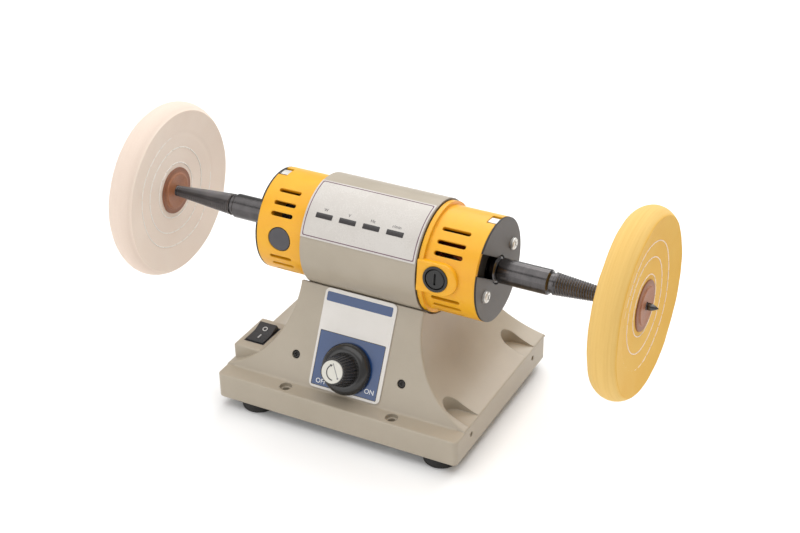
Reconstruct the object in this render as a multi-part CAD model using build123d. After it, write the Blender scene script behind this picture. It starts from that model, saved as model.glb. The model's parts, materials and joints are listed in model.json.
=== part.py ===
from build123d import *
import os
from math import atan2, cos, degrees, pi, sin, sqrt, tan

os.makedirs("parts", exist_ok=True)

# Bench polisher with a double-ended motor on a cast base.
# X runs along the motor axis, the front is -Y, Z is up.
# The origin is on the bench, under the middle of the motor.

# Base casting, sizes in millimetres
foot_height = 6.2
base_width = 147.4
base_depth = 118.0
base_x = -2.8
base_y = -1.0
base_corner = 3.0
slab_height = 15.2
wall = 4.0
cavity_corner = 1.0
edge_round = 1.0
crease_round = 1.8
crease_end = 5.0
ledge_depth = 11.0
back_ledge = 1.0
neck_width = 75.2
neck_depth = 48.0
scoop_radius = 50.0
side_lip = 0.4
axis_above_slab = 72.1
seat_relief = 0.8
seat_relief_width = 1.4

# Pockets in the flared sides
pocket_inset_y = 22.0
pocket_radius = 6.0
pocket_reach = 18.0

# Switch box on the left side
switch_box_y = -28.0
switch_box_inset = 1.1
switch_box_length = 30.2
switch_box_height = 10.1
switch_box_wall = 2.0
switch_box_roof = 2.5

# Bench bolt holes, in the front ledge and in notches of the back face
bench_hole_spacing_x = 65.4
bench_hole_inset_y = 6.0
bench_hole_radius = 2.25
bench_recess_radius = 3.5
bench_recess_depth = 2.2
bench_boss_radius = 6.0

# Tapped holes in the side walls
side_hole_spacing = 81.0
side_hole_height = 9.6
side_hole_radius = 1.5

# Feet and bottom cover; the feet stand evenly about the motor, so inset x is a mean of both ends
foot_radius = 9.8
foot_round = 1.0
foot_inset_x = 17.0
foot_inset_y = 11.5
foot_recess_radius = 4.6
foot_recess_depth = 4.0
foot_boss_radius = 5.0
foot_screw_radius = 2.0
foot_screw_length = 11.0
foot_screw_head_radius = 3.8
foot_screw_head_height = 2.4
cover_thickness = 1.5
cover_rim = 2.0
cover_clearance = 0.3
cover_corner = 2.0

# Control panel on the front face
panel_width = 43.6
panel_top_gap = 0.8253
panel_x = 0.4
panel_start = 1.2
panel_thickness = 0.8
panel_corner = 3.0
control_line = 15.7

# Speed potentiometer and its knob
pot_radius = 8.5
pot_back = 4.0
bush_radius = 3.5
nut_width = 10.0
nut_thickness = 2.0
bush_proud = 0.4
pot_shaft_radius = 3.0
pot_shaft_flat = 2.3
pot_shaft_end_gap = 0.3
knob_skirt_radius = 14.3
knob_skirt_edge = 1.2
knob_shoulder_radius = 10.2
knob_shoulder_height = 5.4
knob_dome = 1.0
knob_grip_radius = 9.4
knob_top_radius = 7.4
knob_height = 17.0
knob_lift = 0.5
knob_flute_count = 30
knob_flute_radius = 0.6
knob_hollow_clearance = 0.8
knob_cap_radius = 6.2
knob_cap_depth = 1.0
knob_cap_proud = 0.5
knob_web = 2.0

# Speed control board behind the panel
front_screw_radius = 1.5
front_screw_head_radius = 2.4
front_screw_head_height = 1.4
front_recess_depth = 2.0
standoff_radius = 3.0
standoff_length = 12.0
board_width = 74.0
board_height = 24.0
board_thickness = 1.6
board_screw_inset = 4.5
board_nut_width = 5.5
board_nut_thickness = 2.0
heat_sink_width = 24.0
heat_sink_height = 18.0
heat_sink_depth = 12.0
heat_sink_fins = 5
heat_sink_fin_gap = 3.0
heat_sink_base = 3.0
heat_sink_screw_gap = 3.5
capacitor_width = 18.0
capacitor_height = 12.0
capacitor_depth = 8.5
capacitor_screw_gap = 7.5
capacitor_round = 1.0

# Rocker switch
switch_x_inset = 10.5
switch_opening_width = 12.8
switch_opening_length = 19.0
switch_collar_gap = 0.1
switch_collar_wall = 0.6
switch_body_width = 13.6
switch_body_length = 21.5
switch_body_height = 11.0
switch_cavity_depth = 6.0
rocker_gap = 0.25
rocker_tilt = 10.0
rocker_pivot_depth = 1.5
rocker_pin_radius = 0.8
rocker_pin_length = 0.7
rocker_proud = 0.6
rocker_skirt = 1.0
rocker_keel = 4.5
rocker_keel_half = 3.0
terminal_width = 4.8
terminal_thickness = 0.8
terminal_length = 6.0
terminal_spacing = 8.0

# Mains cord gland on the back face
gland_line = 35.8
gland_thread_radius = 6.0
gland_hex_width = 15.0
gland_flange = 4.0
gland_collet_radius = 5.4
gland_collet_length = 9.0
gland_bore_radius = 4.5
gland_cord_radius = 3.25
gland_nut_gap = 0.4
gland_nut_length = 8.0
gland_dome_length = 7.6
gland_dome_end_radius = 5.6
gland_mouth_radius = 4.0
gland_locknut = 3.5
gland_thread_end = 1.5

# Motor housing and label
housing_radius = 31.5
housing_wall = 3.0
housing_length = 69.3
housing_x = -1.95
housing_round = 0.3
label_length = 68.6
label_x = -2.1
label_low_angle = 18.5
label_high_angle = 83.5
label_thickness = 0.4
mount_screw_spacing = 40.0
mount_screw_radius = 2.5
mount_screw_head_width = 8.0
mount_screw_head_height = 4.0
mount_screw_tip_gap = 0.2

# Yellow end caps
cap_step = 3.0
cap_wall = 2.2
cap_spigot = 5.0
cap_gap = 0.5
left_cap_length = 27.4
right_cap_length = 30.8
flange_step = 1.05
flange_width = 2.6
brush_tilt = 8.0
vent_offsets = (26.0, 38.4, 53.8)
vent_width = 2.4
right_vent_length = 16.3
right_vent_inset = 7.7
left_vent_length = 13.4
left_vent_inset = 5.8
plug_radius = 6.9
plug_tilt = 6.3
plug_inset = 12.9
plug_lip = 0.3
plug_lip_depth = 1.2
plug_groove = 0.45
plug_groove_depth = 0.8
notch_angle = 93.0
notch_width = 9.0
notch_length = 4.0
key_width = 5.6
key_drop = 0.6

# End plates, bearing brackets and their screws
plate_step = 0.1
plate_seat = 1.2
plate_thickness = 1.0
plate_hole_radius = 8.0
plate_slot_width = 12.0
plate_slot_angle = 32.0
plate_screw_hole_radius = 2.0
plate_register = 1.2
plate_register_wall = 2.0
bracket_inset = 2.2
bracket_thickness = 2.4
bracket_hub_radius = 14.0
bracket_lip = 1.0
bracket_lip_radius = 8.5
shelf_thickness = 1.0
shelf_radius = 14.8
bracket_screw_circle = 18.6
bracket_screw_angle = -23.0
bracket_screw_radius = 1.75
bracket_screw_head_radius = 3.3
bracket_screw_head_height = 2.0
bracket_screw_length = 11.4

# Ball bearings
bearing_radius = 11.0
bearing_bore_radius = 4.0
bearing_width = 7.0
bearing_outer_land = 8.7
bearing_inner_land = 6.3
ball_pitch_radius = 7.5
ball_radius = 1.98
ball_count = 7
ball_clearance = 0.03
cage_half_thickness = 0.6
cage_width = 5.4
cage_clearance = 0.1

# Brush gear
brush_offset = 10.75
boss_half_width = 8.8
boss_reach = 3.4
boss_round = 0.9
boss_rise = 2.1
holder_radius = 7.0
holder_proud = 0.5
holder_standoff = 1.5
brush_cap_radius = 5.7
brush_cap_depth = 4.6
brush_cap_chamfer = 0.8
brush_cap_slot_width = 1.2
brush_cap_slot_length = 6.4
brush_cap_slot_depth = 1.2
brush_width = 5.0
brush_thickness = 7.0
brush_spring_length = 4.35
brush_spring_radius = 2.2
brush_spring_wire = 0.5

# Stator
stator_length = 40.0
stator_x = -3.0
stator_yoke = 5.0
pole_depth = 5.45
pole_arc = 104.0
coil_arc = 34.0
coil_overhang = 7.0
coil_depth = 4.0
coil_lift = 1.0
coil_gap = 0.3
coil_gap_angle = 1.0

# Rotor
air_gap = 0.5
armature_slots = 12
armature_slot_width = 2.4
armature_slot_depth = 6.0
winding_overhang = 7.0
winding_inner_radius = 6.2
winding_drop = 1.8
shaft_radius = 5.0
shaft_stub = 20.0
commutator_radius = 11.5
commutator_length = 14.0
commutator_bars = 24
commutator_groove = 0.5
commutator_groove_depth = 0.8
riser_radius = 13.0
riser_length = 2.0
fan_gap = 3.3
fan_hub_radius = 8.0
fan_disc = 1.5
fan_blade_length = 7.0
fan_blade_thickness = 1.4
fan_blade_count = 11
fan_offset = 1.6

# Tapered spindles
nose_radius = 5.4
collar_radius = 7.4
collar_start = -0.8
collar_length = 3.4
collar_chamfer = 0.7
collar_groove = 0.7
collar_groove_depth = 0.8
sleeve_radius = 6.9
sleeve_end = 32.1
sleeve_chamfer = 0.8
neck_radius = 5.4
neck_length = 2.4
taper_start_radius = 6.15
taper_end_radius = 1.95
taper_length = 51.4
thread_pitch = 1.4
thread_depth = 0.4
tip_length = 4.6
tip_radius = 0.4
spindle_bore_gap = 0.5

# Buffing wheels
wheel_station = 43.8
wheel_radius = 51.0
wheel_edge_radius = 46.5
wheel_edge_thickness = 15.6
wheel_hub_thickness = 8.8
wheel_slope_radius = 29.0
stitch_radii = (16.4, 25.5, 34.0)
stitch_width = 1.2
stitch_depth = 0.5
wheel_bore_gap = 0.15
hub_disc_radius = 13.6
hub_disc_thickness = 0.9
hub_boss_radius = 10.4
hub_boss_thickness = 0.8

# Cross recess of the screws
cross_margin = 1.2
cross_width = 0.8
cross_depth = 0.8

# Fits
push_fit = 0.05
running_fit = 0.05
cut_over = 1.0

# Heights and places that follow from the sizes above
slab_top = foot_height + slab_height
bench_hole_spacing_y = base_depth - 2 * bench_hole_inset_y
pocket_y = base_depth / 2 - pocket_inset_y
foot_spacing_x = base_width - 2 * foot_inset_x
foot_spacing_y = base_depth - 2 * foot_inset_y
front_screw_spacing = board_width - 2 * board_screw_inset
heat_sink_u = front_screw_spacing / 2 - heat_sink_screw_gap - heat_sink_width / 2
capacitor_u = capacitor_screw_gap + capacitor_width / 2 - front_screw_spacing / 2
axis_z = slab_top + axis_above_slab
neck_top = axis_z - sqrt(housing_radius**2 - (neck_depth / 2) ** 2)
face_foot = base_depth / 2 - base_y - ledge_depth
back_foot = base_depth / 2 + base_y - back_ledge
face_rise = neck_top - slab_top
face_run = face_foot - neck_depth / 2
face_angle = atan2(face_rise, face_run)
panel_height = sqrt(face_rise**2 + face_run**2) - panel_start - panel_top_gap
scoop_centre = neck_width / 2 + scoop_radius
scoop_z = slab_top + side_lip + sqrt(scoop_radius**2 - (scoop_centre - base_width / 2) ** 2)
pocket_floor = slab_top + side_lip
switch_box_top = slab_top + switch_box_height
switch_x = base_x - base_width / 2 + switch_x_inset
housing_left = housing_x - housing_length / 2
housing_right = housing_x + housing_length / 2
housing_bore = housing_radius - housing_wall
cap_radius = housing_radius - cap_step
cap_bore = cap_radius - cap_wall
flange_radius = housing_radius - flange_step
plate_radius = cap_radius - plate_step
boss_height = cap_radius + boss_rise
fan_radius = cap_bore - fan_gap
yoke_bore = housing_bore - push_fit - stator_yoke
stator_bore_radius = yoke_bore - pole_depth
right_cap_start = housing_right + cap_gap
right_reach = right_cap_start + right_cap_length
left_reach = left_cap_length - housing_left
brush_x = right_cap_start + brush_offset
plate_face = plate_seat + plate_thickness
bracket_face = -bracket_inset
shelf_face = bracket_face - bracket_thickness
bearing_outer_face = bracket_face - bracket_lip
bearing_inner_face = bearing_outer_face - bearing_width
armature_radius = stator_bore_radius - air_gap
taper_start = sleeve_end + neck_length
wheel_middle = taper_start + wheel_station
brush_inner = commutator_radius + running_fit
holder_outer = boss_height + holder_proud
cap_inner = holder_outer - brush_cap_depth
brush_length = cap_inner - brush_inner - brush_spring_length
bush_top = panel_thickness + nut_thickness + bush_proud
knob_base = panel_thickness + knob_lift
knob_top = knob_base + knob_height
knob_hollow_top = bush_top + knob_hollow_clearance
pot_shaft_top = knob_top - knob_cap_depth - knob_web
board_face = -wall - standoff_length
board_back = board_face - board_thickness
pole_angles = (brush_tilt + 90, brush_tilt - 90)
brush_angles = (brush_tilt, brush_tilt + 180)
plug_angles = (plug_tilt, plug_tilt + 180)
bracket_screw_angles = (bracket_screw_angle, bracket_screw_angle + 180)
close = 0.01

motor_place = Pos(0, 0, axis_z)
front_face = Plane(
    origin=(base_x, -face_foot, slab_top),
    x_dir=(1, 0, 0),
    z_dir=(0, -sin(face_angle), cos(face_angle)),
)
back_face = Plane(
    origin=(base_x, back_foot, slab_top),
    x_dir=(-1, 0, 0),
    z_dir=(0, sin(face_angle), cos(face_angle)),
)
sides = (-1, 1)
pocket_sides = [(1, -1), (1, 1), (-1, 1)]
solids = {}


# Shapes used by many pieces
def turned(points):
    # A solid turned about the X axis from (station, radius) corners
    return revolve(make_face(Polyline(points, close=True)), Axis.X)


def ring(outer, inner, start, end):
    # A plain tube along the X axis
    return turned([(start, inner), (end, inner), (end, outer), (start, outer)])


def sector(outer, inner, start, end, low_angle, high_angle):
    # Part of a tube between two angles, counted up from the front
    corners = [(start, inner), (end, inner), (end, outer), (start, outer)]
    swung = revolve(make_face(Polyline(corners, close=True)), Axis.X, high_angle - low_angle)
    return Rot(180 - high_angle, 0, 0) * swung


def spoke(radius, inner, outer, station, angle):
    # A round bar along a radius of the motor
    bar = Cylinder(radius, outer - inner, rotation=(90, 0, 0))
    return Rot(-angle, 0, 0) * Pos(station, -(inner + outer) / 2, 0) * bar


def radial_block(width, thickness, inner, outer, station, angle):
    # A square bar along a radius of the motor
    bar = Box(width, outer - inner, thickness)
    return Rot(-angle, 0, 0) * Pos(station, -(inner + outer) / 2, 0) * bar


def post(radius, low, high, x=0, y=0):
    # An upright round bar
    return Pos(x, y, low) * Cylinder(radius, high - low, align=(Align.CENTER, Align.CENTER, Align.MIN))


def hexagon(width, low, high):
    # An upright six-sided bar of the given width across its flats
    outline = RegularPolygon(width / 2, 6, major_radius=False)
    return Pos(0, 0, low) * extrude(outline, high - low)


def at_end(solid, side):
    # Puts a solid made beside the origin on the right or left end of the motor
    if side > 0:
        return motor_place * Pos(right_reach, 0, 0) * solid
    return motor_place * Pos(-left_reach, 0, 0) * mirror(solid, about=Plane.YZ)


def side_name(side):
    return "right" if side > 0 else "left"


def group(members):
    return Compound(children=list(members))


def lathe(points):
    # A solid turned about the upright axis from (radius, height) corners
    return revolve(Plane.XZ * make_face(Polyline(points, close=True)), Axis.Z)


def axial_bar(radius, start, end, circle, angle):
    # A round bar along the motor, off its axis by a circle's radius
    bar = Rot(0, 90, 0) * post(radius, start, end)
    return Rot(-angle, 0, 0) * Pos(0, -circle, 0) * bar


def pan_screw(head_radius, head_height, radius, length):
    # A screw with its shank below the origin and a cross in its head
    head = post(head_radius, 0, head_height)
    head = fillet(head.edges().group_by(Axis.Z)[-1], head_height / 2)
    arm = Box(2 * (head_radius - cross_margin), cross_width, 2 * cross_depth)
    head -= Pos(0, 0, head_height) * (arm + Rot(0, 0, 90) * arm)
    return head + post(radius, -length, 0)


def on_front(solid, u=0, v=control_line):
    return front_face * Pos(u, v, 0) * solid


def on_back(solid):
    return back_face * Pos(0, gland_line, 0) * solid


# Base casting
def front_reach(height, inset):
    # How far the front face lies before the motor's axis at a height, with its wall moved in
    rise = (height - slab_top) / tan(face_angle)
    return face_foot - rise - inset / sin(face_angle)


def slab(inset, corner, low, high):
    outline = RectangleRounded(base_width - 2 * inset, base_depth - 2 * inset, corner)
    return Pos(base_x, base_y, low) * extrude(outline, high - low)


def scoop(side, inset):
    # The hollow flare of one side, with open space above its centre
    reach = scoop_radius + inset
    trough = Cylinder(reach, base_depth, rotation=(90, 0, 0))
    above = Box(2 * reach, base_depth, axis_z, align=(Align.CENTER, Align.CENTER, Align.MIN))
    return Pos(base_x + side * scoop_centre, 0, scoop_z) * (trough + above)


def flared_block(inset, low):
    # The pedestal before the motor's seat is cut
    back = back_foot - face_foot
    corners = [
        (-front_reach(low, inset), low),
        (front_reach(low, inset) + back, low),
        (front_reach(axis_z, inset) + back, axis_z),
        (-front_reach(axis_z, inset), axis_z),
    ]
    outline = Plane.YZ * make_face(Polyline(corners, close=True))
    block = Pos(base_x, 0, 0) * extrude(outline, base_width / 2 - inset, both=True)
    return block - [scoop(side, inset) for side in sides]


def motor_seat(radius):
    return motor_place * ring(radius, 0, -base_width, base_width)


def eased_pedestal(low):
    # The pedestal's outside, with the flared edges and the side rims rounded
    block = flared_block(0, low)
    flank = block.edges().filter_by(GeomType.ELLIPSE)
    lines = block.edges().filter_by(GeomType.LINE)
    upper = [edge for edge in lines if edge.center().Z > scoop_z and edge.bounding_box().size.Z > close]
    rim_height = slab_top + side_lip
    rim = [edge for edge in lines if abs(edge.center().Z - rim_height) < close]
    block = fillet(list(flank) + upper + rim, edge_round)
    block -= motor_seat(housing_radius + push_fit)
    front_lip = Pos(base_x, seat_relief_width - neck_depth / 2, axis_z) * Box(
        base_width, neck_depth, 2 * axis_above_slab, align=(Align.CENTER, Align.MAX, Align.CENTER)
    )
    return block - (motor_seat(housing_radius + seat_relief) & front_lip)


def crease():
    # The rounded inner corner between the front ledge and the front face
    reach = crease_round / tan((pi - face_angle) / 2)
    corner = Vector(-face_foot, slab_top)
    foot = corner - Vector(reach, 0)
    head = corner + Vector(cos(face_angle), sin(face_angle)) * reach
    centre = foot + Vector(0, crease_round)
    middle = centre + (corner - centre).normalized() * crease_round
    curve = ThreePointArc(foot, middle, head)
    sunk = Vector(cut_over, -cut_over)
    rest = Polyline(head, head + Vector(cut_over, 0), corner + sunk, foot - Vector(0, cut_over), foot)
    outline = Plane.YZ * make_face((curve + rest).edges())
    strip = Pos(base_x, 0, 0) * extrude(outline, base_width / 2 - crease_end, both=True)
    return strip - [scoop(side, 0) for side in sides]


def switch_box(inset, low, top_inset):
    # The raised box on the left side, running into the pedestal
    left = base_x - base_width / 2 + switch_box_inset + inset
    right = base_x - neck_width / 2
    width = right - left
    length = switch_box_length - 2 * inset
    height = switch_box_top - top_inset - low
    box = Box(width, length, height, align=(Align.MIN, Align.CENTER, Align.MIN))
    return Pos(left, switch_box_y, low) * box


def eased_switch_box():
    low = foot_height + slab_height / 2
    box = switch_box(0, low, 0)
    right = base_x - neck_width / 2
    free = [edge for edge in box.edges() if edge.center().X < right - close and edge.center().Z > low + close]
    return fillet(free, edge_round)


def eased_slab():
    block = slab(0, base_corner, foot_height, slab_top)
    level = [edge for edge in block.edges() if edge.bounding_box().size.Z < close]
    return fillet(level, edge_round)


def pocket(side_x, side_y, inset):
    # A slot with a flat floor and a round end, open towards the side
    low = pocket_floor - inset
    radius = pocket_radius + inset
    centre = base_width / 2 - pocket_reach + pocket_radius
    run = base_width / 2 - centre
    round_end = post(radius, low, scoop_z, centre, 0)
    channel = Box(run, 2 * radius, scoop_z - low, align=(Align.MIN, Align.CENTER, Align.MIN))
    slot = round_end + Pos(centre, 0, low) * channel
    turn = 0 if side_x > 0 else 180
    return Pos(base_x, base_y + side_y * pocket_y, 0) * Rot(0, 0, turn) * slot


def bench_holes():
    spots = [(sx * bench_hole_spacing_x / 2, sy * bench_hole_spacing_y / 2) for sx in sides for sy in sides]
    return [(base_x + x, base_y + y) for x, y in spots]


def foot_spots():
    return [(sx * foot_spacing_x / 2, base_y + sy * foot_spacing_y / 2) for sx in sides for sy in sides]


def casting_outside():
    return eased_slab() + eased_pedestal(slab_top - edge_round) + crease() + eased_switch_box()


def casting_hollow():
    # The space inside the casting, around the bosses and behind the pockets
    low = foot_height - cut_over
    roof = slab_top - wall
    hollow = slab(wall, cavity_corner, low, roof)
    hollow += flared_block(wall, roof - cut_over) - motor_seat(housing_radius + wall)
    hollow += switch_box(switch_box_wall, low, switch_box_roof)
    cover_top = foot_height + cover_thickness
    bosses = [post(foot_boss_radius, cover_top, roof + wall / 2, x, y) for x, y in foot_spots()]
    bosses += [post(bench_boss_radius, cover_top, scoop_z, x, y) for x, y in bench_holes()]
    return hollow - [pocket(sx, sy, wall) for sx, sy in pocket_sides] - bosses


def side_holes():
    drill = Cylinder(side_hole_radius, 3 * wall, rotation=(0, 90, 0))
    height = foot_height + side_hole_height
    ends = [base_x + side * base_width / 2 for side in sides]
    spots = [(x, base_y + sy * side_hole_spacing / 2) for x in ends for sy in sides]
    return [Pos(x, y, height) * drill for x, y in spots]


def base_casting():
    solid = casting_outside() - casting_hollow()
    solid -= [pocket(sx, sy, 0) for sx, sy in pocket_sides]
    cover_top = foot_height + cover_thickness
    solid -= slab(cover_rim, cover_corner, foot_height - cut_over, cover_top)
    for x, y in bench_holes():
        solid -= post(bench_hole_radius, foot_height, slab_top + cut_over, x, y)
        solid -= post(bench_recess_radius, slab_top - bench_recess_depth, scoop_z, x, y)
    for x, y in foot_spots():
        solid -= post(foot_screw_radius + push_fit, foot_height, foot_recess_depth + foot_screw_length, x, y)
    solid -= side_holes()
    opening = Box(switch_opening_width, switch_opening_length, 4 * switch_box_roof)
    solid -= Pos(switch_x, switch_box_y, switch_box_top) * opening
    solid -= on_front(Cylinder(bush_radius + push_fit, 4 * wall))
    for side in sides:
        u = side * front_screw_spacing / 2
        solid -= on_front(Cylinder(front_screw_radius + push_fit, 4 * wall), u)
        solid -= on_front(Cylinder(front_screw_head_radius + push_fit, 2 * front_recess_depth), u)
    solid -= on_back(Cylinder(gland_thread_radius + push_fit, 4 * wall))
    return solid - mount_drills()


def bottom_cover():
    plate = slab(cover_rim + cover_clearance, cover_corner, foot_height, foot_height + cover_thickness)
    for x, y in foot_spots():
        plate -= post(foot_screw_radius + push_fit, 0, slab_top, x, y)
    for x, y in bench_holes():
        plate -= post(bench_hole_radius, 0, slab_top, x, y)
    return plate


def rubber_foot(x, y):
    foot = post(foot_radius, 0, foot_height)
    foot = fillet(foot.edges().group_by(Axis.Z)[0], foot_round)
    foot -= post(foot_recess_radius, -cut_over, foot_recess_depth)
    foot -= post(foot_screw_radius + push_fit, 0, foot_height + cut_over)
    return Pos(x, y, 0) * foot


def foot_screw(x, y):
    screw = pan_screw(foot_screw_head_radius, foot_screw_head_height, foot_screw_radius, foot_screw_length)
    return Pos(x, y, foot_recess_depth) * Rot(180, 0, 0) * screw


# Control panel, potentiometer and knob
def control_panel():
    plate = extrude(RectangleRounded(panel_width, panel_height, panel_corner), panel_thickness)
    plate = Pos(panel_x, panel_start + panel_height / 2, 0) * plate
    plate -= Pos(0, control_line, 0) * Cylinder(bush_radius + push_fit, 4 * panel_thickness)
    return front_face * plate


def potentiometer_body():
    body = post(pot_radius, board_face, -wall) + post(bush_radius, -wall, bush_top)
    body -= post(pot_shaft_radius + running_fit, board_face + pot_back, bush_top + cut_over)
    return on_front(body)


def potentiometer_nut():
    nut = hexagon(nut_width, panel_thickness, panel_thickness + nut_thickness)
    return on_front(nut - post(bush_radius + push_fit, 0, bush_top))


def flatted_bar(radius, flat, low, high):
    # A round bar with one side cut flat
    side = Pos(0, flat + radius, (low + high) / 2) * Box(2 * radius, 2 * radius, 2 * (high - low))
    return post(radius, low, high) - side


def potentiometer_shaft():
    bar = post(pot_shaft_radius, board_face + pot_back + pot_shaft_end_gap, knob_hollow_top)
    bar += flatted_bar(pot_shaft_radius, pot_shaft_flat, knob_hollow_top, pot_shaft_top)
    return on_front(bar)


def knob_blank():
    # The knob's outside: a domed skirt under a grip that narrows upwards
    edge = (knob_skirt_radius, knob_base + knob_skirt_edge)
    shoulder = (knob_shoulder_radius, knob_base + knob_shoulder_height)
    dome = SagittaArc(edge, shoulder, -knob_dome)
    grip_foot = (knob_grip_radius, shoulder[1])
    top = Polyline(shoulder, grip_foot, (knob_top_radius, knob_top), (0, knob_top))
    bottom = Polyline((0, knob_top), (0, knob_base), (knob_skirt_radius, knob_base), edge)
    return revolve(Plane.XZ * make_face((dome + top + bottom).edges()), Axis.Z)


def control_knob():
    knob = knob_blank()
    knob -= post(nut_width / sqrt(3) + knob_hollow_clearance, 0, knob_hollow_top)
    flat = pot_shaft_flat + push_fit
    knob -= flatted_bar(pot_shaft_radius + push_fit, flat, knob_hollow_top, pot_shaft_top + push_fit)
    knob -= post(knob_cap_radius + push_fit, knob_top - knob_cap_depth, knob_top + cut_over)
    grip = knob_height - knob_shoulder_height
    lean = degrees(atan2(knob_grip_radius - knob_top_radius, grip))
    flute = Rot(0, -lean, 0) * post(knob_flute_radius, 0, grip + cut_over)
    flute = Pos(knob_grip_radius, 0, knob_base + knob_shoulder_height) * flute
    turns = [360 * index / knob_flute_count for index in range(knob_flute_count)]
    return on_front(knob - [Rot(0, 0, turn) * flute for turn in turns])


def knob_cap():
    return on_front(post(knob_cap_radius, knob_top - knob_cap_depth, knob_top + knob_cap_proud))


# Speed control board
def front_screw(side):
    length = board_nut_thickness - board_back - front_recess_depth
    screw = pan_screw(front_screw_head_radius, front_screw_head_height, front_screw_radius, length)
    return on_front(Pos(0, 0, -front_recess_depth) * screw, side * front_screw_spacing / 2)


def board_standoff(side):
    tube = post(standoff_radius, board_face, -wall) - post(front_screw_radius + push_fit, board_face, -wall)
    return on_front(tube, side * front_screw_spacing / 2)


def board_nut(side):
    low = board_back - board_nut_thickness
    nut = hexagon(board_nut_width, low, board_back) - post(front_screw_radius + push_fit, low, board_back)
    return on_front(nut, side * front_screw_spacing / 2)


def control_board():
    board = Pos(0, 0, (board_face + board_back) / 2) * Box(board_width, board_height, board_thickness)
    for side in sides:
        board -= post(front_screw_radius + push_fit, board_back, board_face, side * front_screw_spacing / 2)
    return on_front(board)


def heat_sink():
    low = board_back - heat_sink_depth
    block = Pos(0, 0, (low + board_back) / 2) * Box(heat_sink_width, heat_sink_height, heat_sink_depth)
    pitch = (heat_sink_width + heat_sink_fin_gap) / heat_sink_fins
    fin_length = heat_sink_depth - heat_sink_base
    gap = Box(heat_sink_fin_gap, 2 * heat_sink_height, 2 * fin_length)
    middles = [(index + 1 - heat_sink_fins / 2) * pitch for index in range(heat_sink_fins - 1)]
    return on_front(block - [Pos(u, 0, low) * gap for u in middles], heat_sink_u)


def filter_capacitor():
    block = Box(capacitor_width, capacitor_height, capacitor_depth)
    block = fillet(block.edges().filter_by(Axis.Z), capacitor_round)
    return on_front(Pos(0, 0, board_back - capacitor_depth / 2) * block, capacitor_u)


# Rocker switch, with its front half pressed
def at_switch(solid):
    return Pos(switch_x, switch_box_y, switch_box_top) * solid


def well_size(margin):
    # Width and length inside the switch collar, less a margin on each side
    inset = 2 * (switch_collar_gap + switch_collar_wall + margin)
    return switch_opening_width - inset, switch_opening_length - inset


def rocker_switch_body():
    down = (Align.CENTER, Align.CENTER, Align.MAX)
    collar_width = switch_opening_width - 2 * switch_collar_gap
    collar_length = switch_opening_length - 2 * switch_collar_gap
    body = Box(collar_width, collar_length, switch_box_roof, align=down)
    under = Box(switch_body_width, switch_body_length, switch_body_height, align=down)
    body += Pos(0, 0, -switch_box_roof) * under
    well_width, well_length = well_size(0)
    body -= Box(well_width, well_length, switch_box_roof + switch_cavity_depth, align=down)
    bearing = Cylinder(rocker_pin_radius + running_fit, collar_width, rotation=(0, 90, 0))
    return at_switch(body - Pos(0, 0, -rocker_pivot_depth) * bearing)


def rocker():
    # A shallow trough on top, with ends that follow a circle about the pins
    width, length = well_size(rocker_gap)
    reach = length / 2
    slope = tan(rocker_tilt * pi / 180)
    crest = (rocker_pivot_depth + rocker_proud) / cos(rocker_tilt * pi / 180)
    corners = [
        (-reach, crest + reach * slope),
        (0, crest),
        (reach, crest + reach * slope),
        (reach, -rocker_skirt),
        (rocker_keel_half, -rocker_keel),
        (-rocker_keel_half, -rocker_keel),
        (-reach, -rocker_skirt),
    ]
    outline = Plane.YZ * make_face(Polyline(corners, close=True))
    block = extrude(outline, width / 2, both=True)
    block = block & Cylinder(reach, 2 * width, rotation=(0, 90, 0))
    block += Cylinder(rocker_pin_radius, width + 2 * rocker_pin_length, rotation=(0, 90, 0))
    return at_switch(Pos(0, 0, -rocker_pivot_depth) * Rot(rocker_tilt, 0, 0) * block)


def switch_terminal(side):
    down = (Align.CENTER, Align.CENTER, Align.MAX)
    blade = Box(terminal_thickness, terminal_width, terminal_length, align=down)
    height = -switch_box_roof - switch_body_height
    return at_switch(Pos(0, side * terminal_spacing / 2, height) * blade)


# Mains gland
def gland_body():
    low = -wall - gland_locknut - gland_thread_end
    high = gland_flange + gland_collet_length
    body = hexagon(gland_hex_width, 0, gland_flange) + post(gland_thread_radius, low, 0)
    body += post(gland_collet_radius, gland_flange, high)
    return on_back(body - post(gland_bore_radius, low - cut_over, high + cut_over))


def gland_dome_nut():
    low = gland_flange + gland_nut_gap
    shoulder = low + gland_nut_length
    high = shoulder + gland_dome_length
    dome = [(0, shoulder), (gland_hex_width / 2, shoulder), (gland_dome_end_radius, high), (0, high)]
    nut = hexagon(gland_hex_width, low, shoulder) + lathe(dome)
    collet_end = gland_flange + gland_collet_length
    nut -= post(gland_collet_radius + push_fit, low - cut_over, collet_end + gland_nut_gap)
    return on_back(nut - post(gland_mouth_radius, low, high + cut_over))


def gland_seal():
    high = gland_flange + gland_collet_length
    tube = post(gland_bore_radius - push_fit, gland_flange, high)
    return on_back(tube - post(gland_cord_radius, gland_flange, high))


def gland_locking_nut():
    nut = hexagon(gland_hex_width, -wall - gland_locknut, -wall)
    return on_back(nut - post(gland_thread_radius + push_fit, -wall - gland_locknut, -wall))


# Motor housing
def mount_drills():
    drill = Cylinder(mount_screw_radius + push_fit, 4 * wall)
    return [motor_place * Pos(side * mount_screw_spacing / 2, 0, -housing_radius) * drill for side in sides]


def motor_housing():
    tube = ring(housing_radius, housing_bore, housing_left, housing_right)
    outer = [edge for edge in tube.edges().filter_by(GeomType.CIRCLE) if edge.radius > housing_radius - close]
    return motor_place * fillet(outer, housing_round) - mount_drills()


def motor_label():
    inner = housing_radius + push_fit
    start = label_x - label_length / 2
    end = label_x + label_length / 2
    return motor_place * sector(inner + label_thickness, inner, start, end, label_low_angle, label_high_angle)


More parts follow.
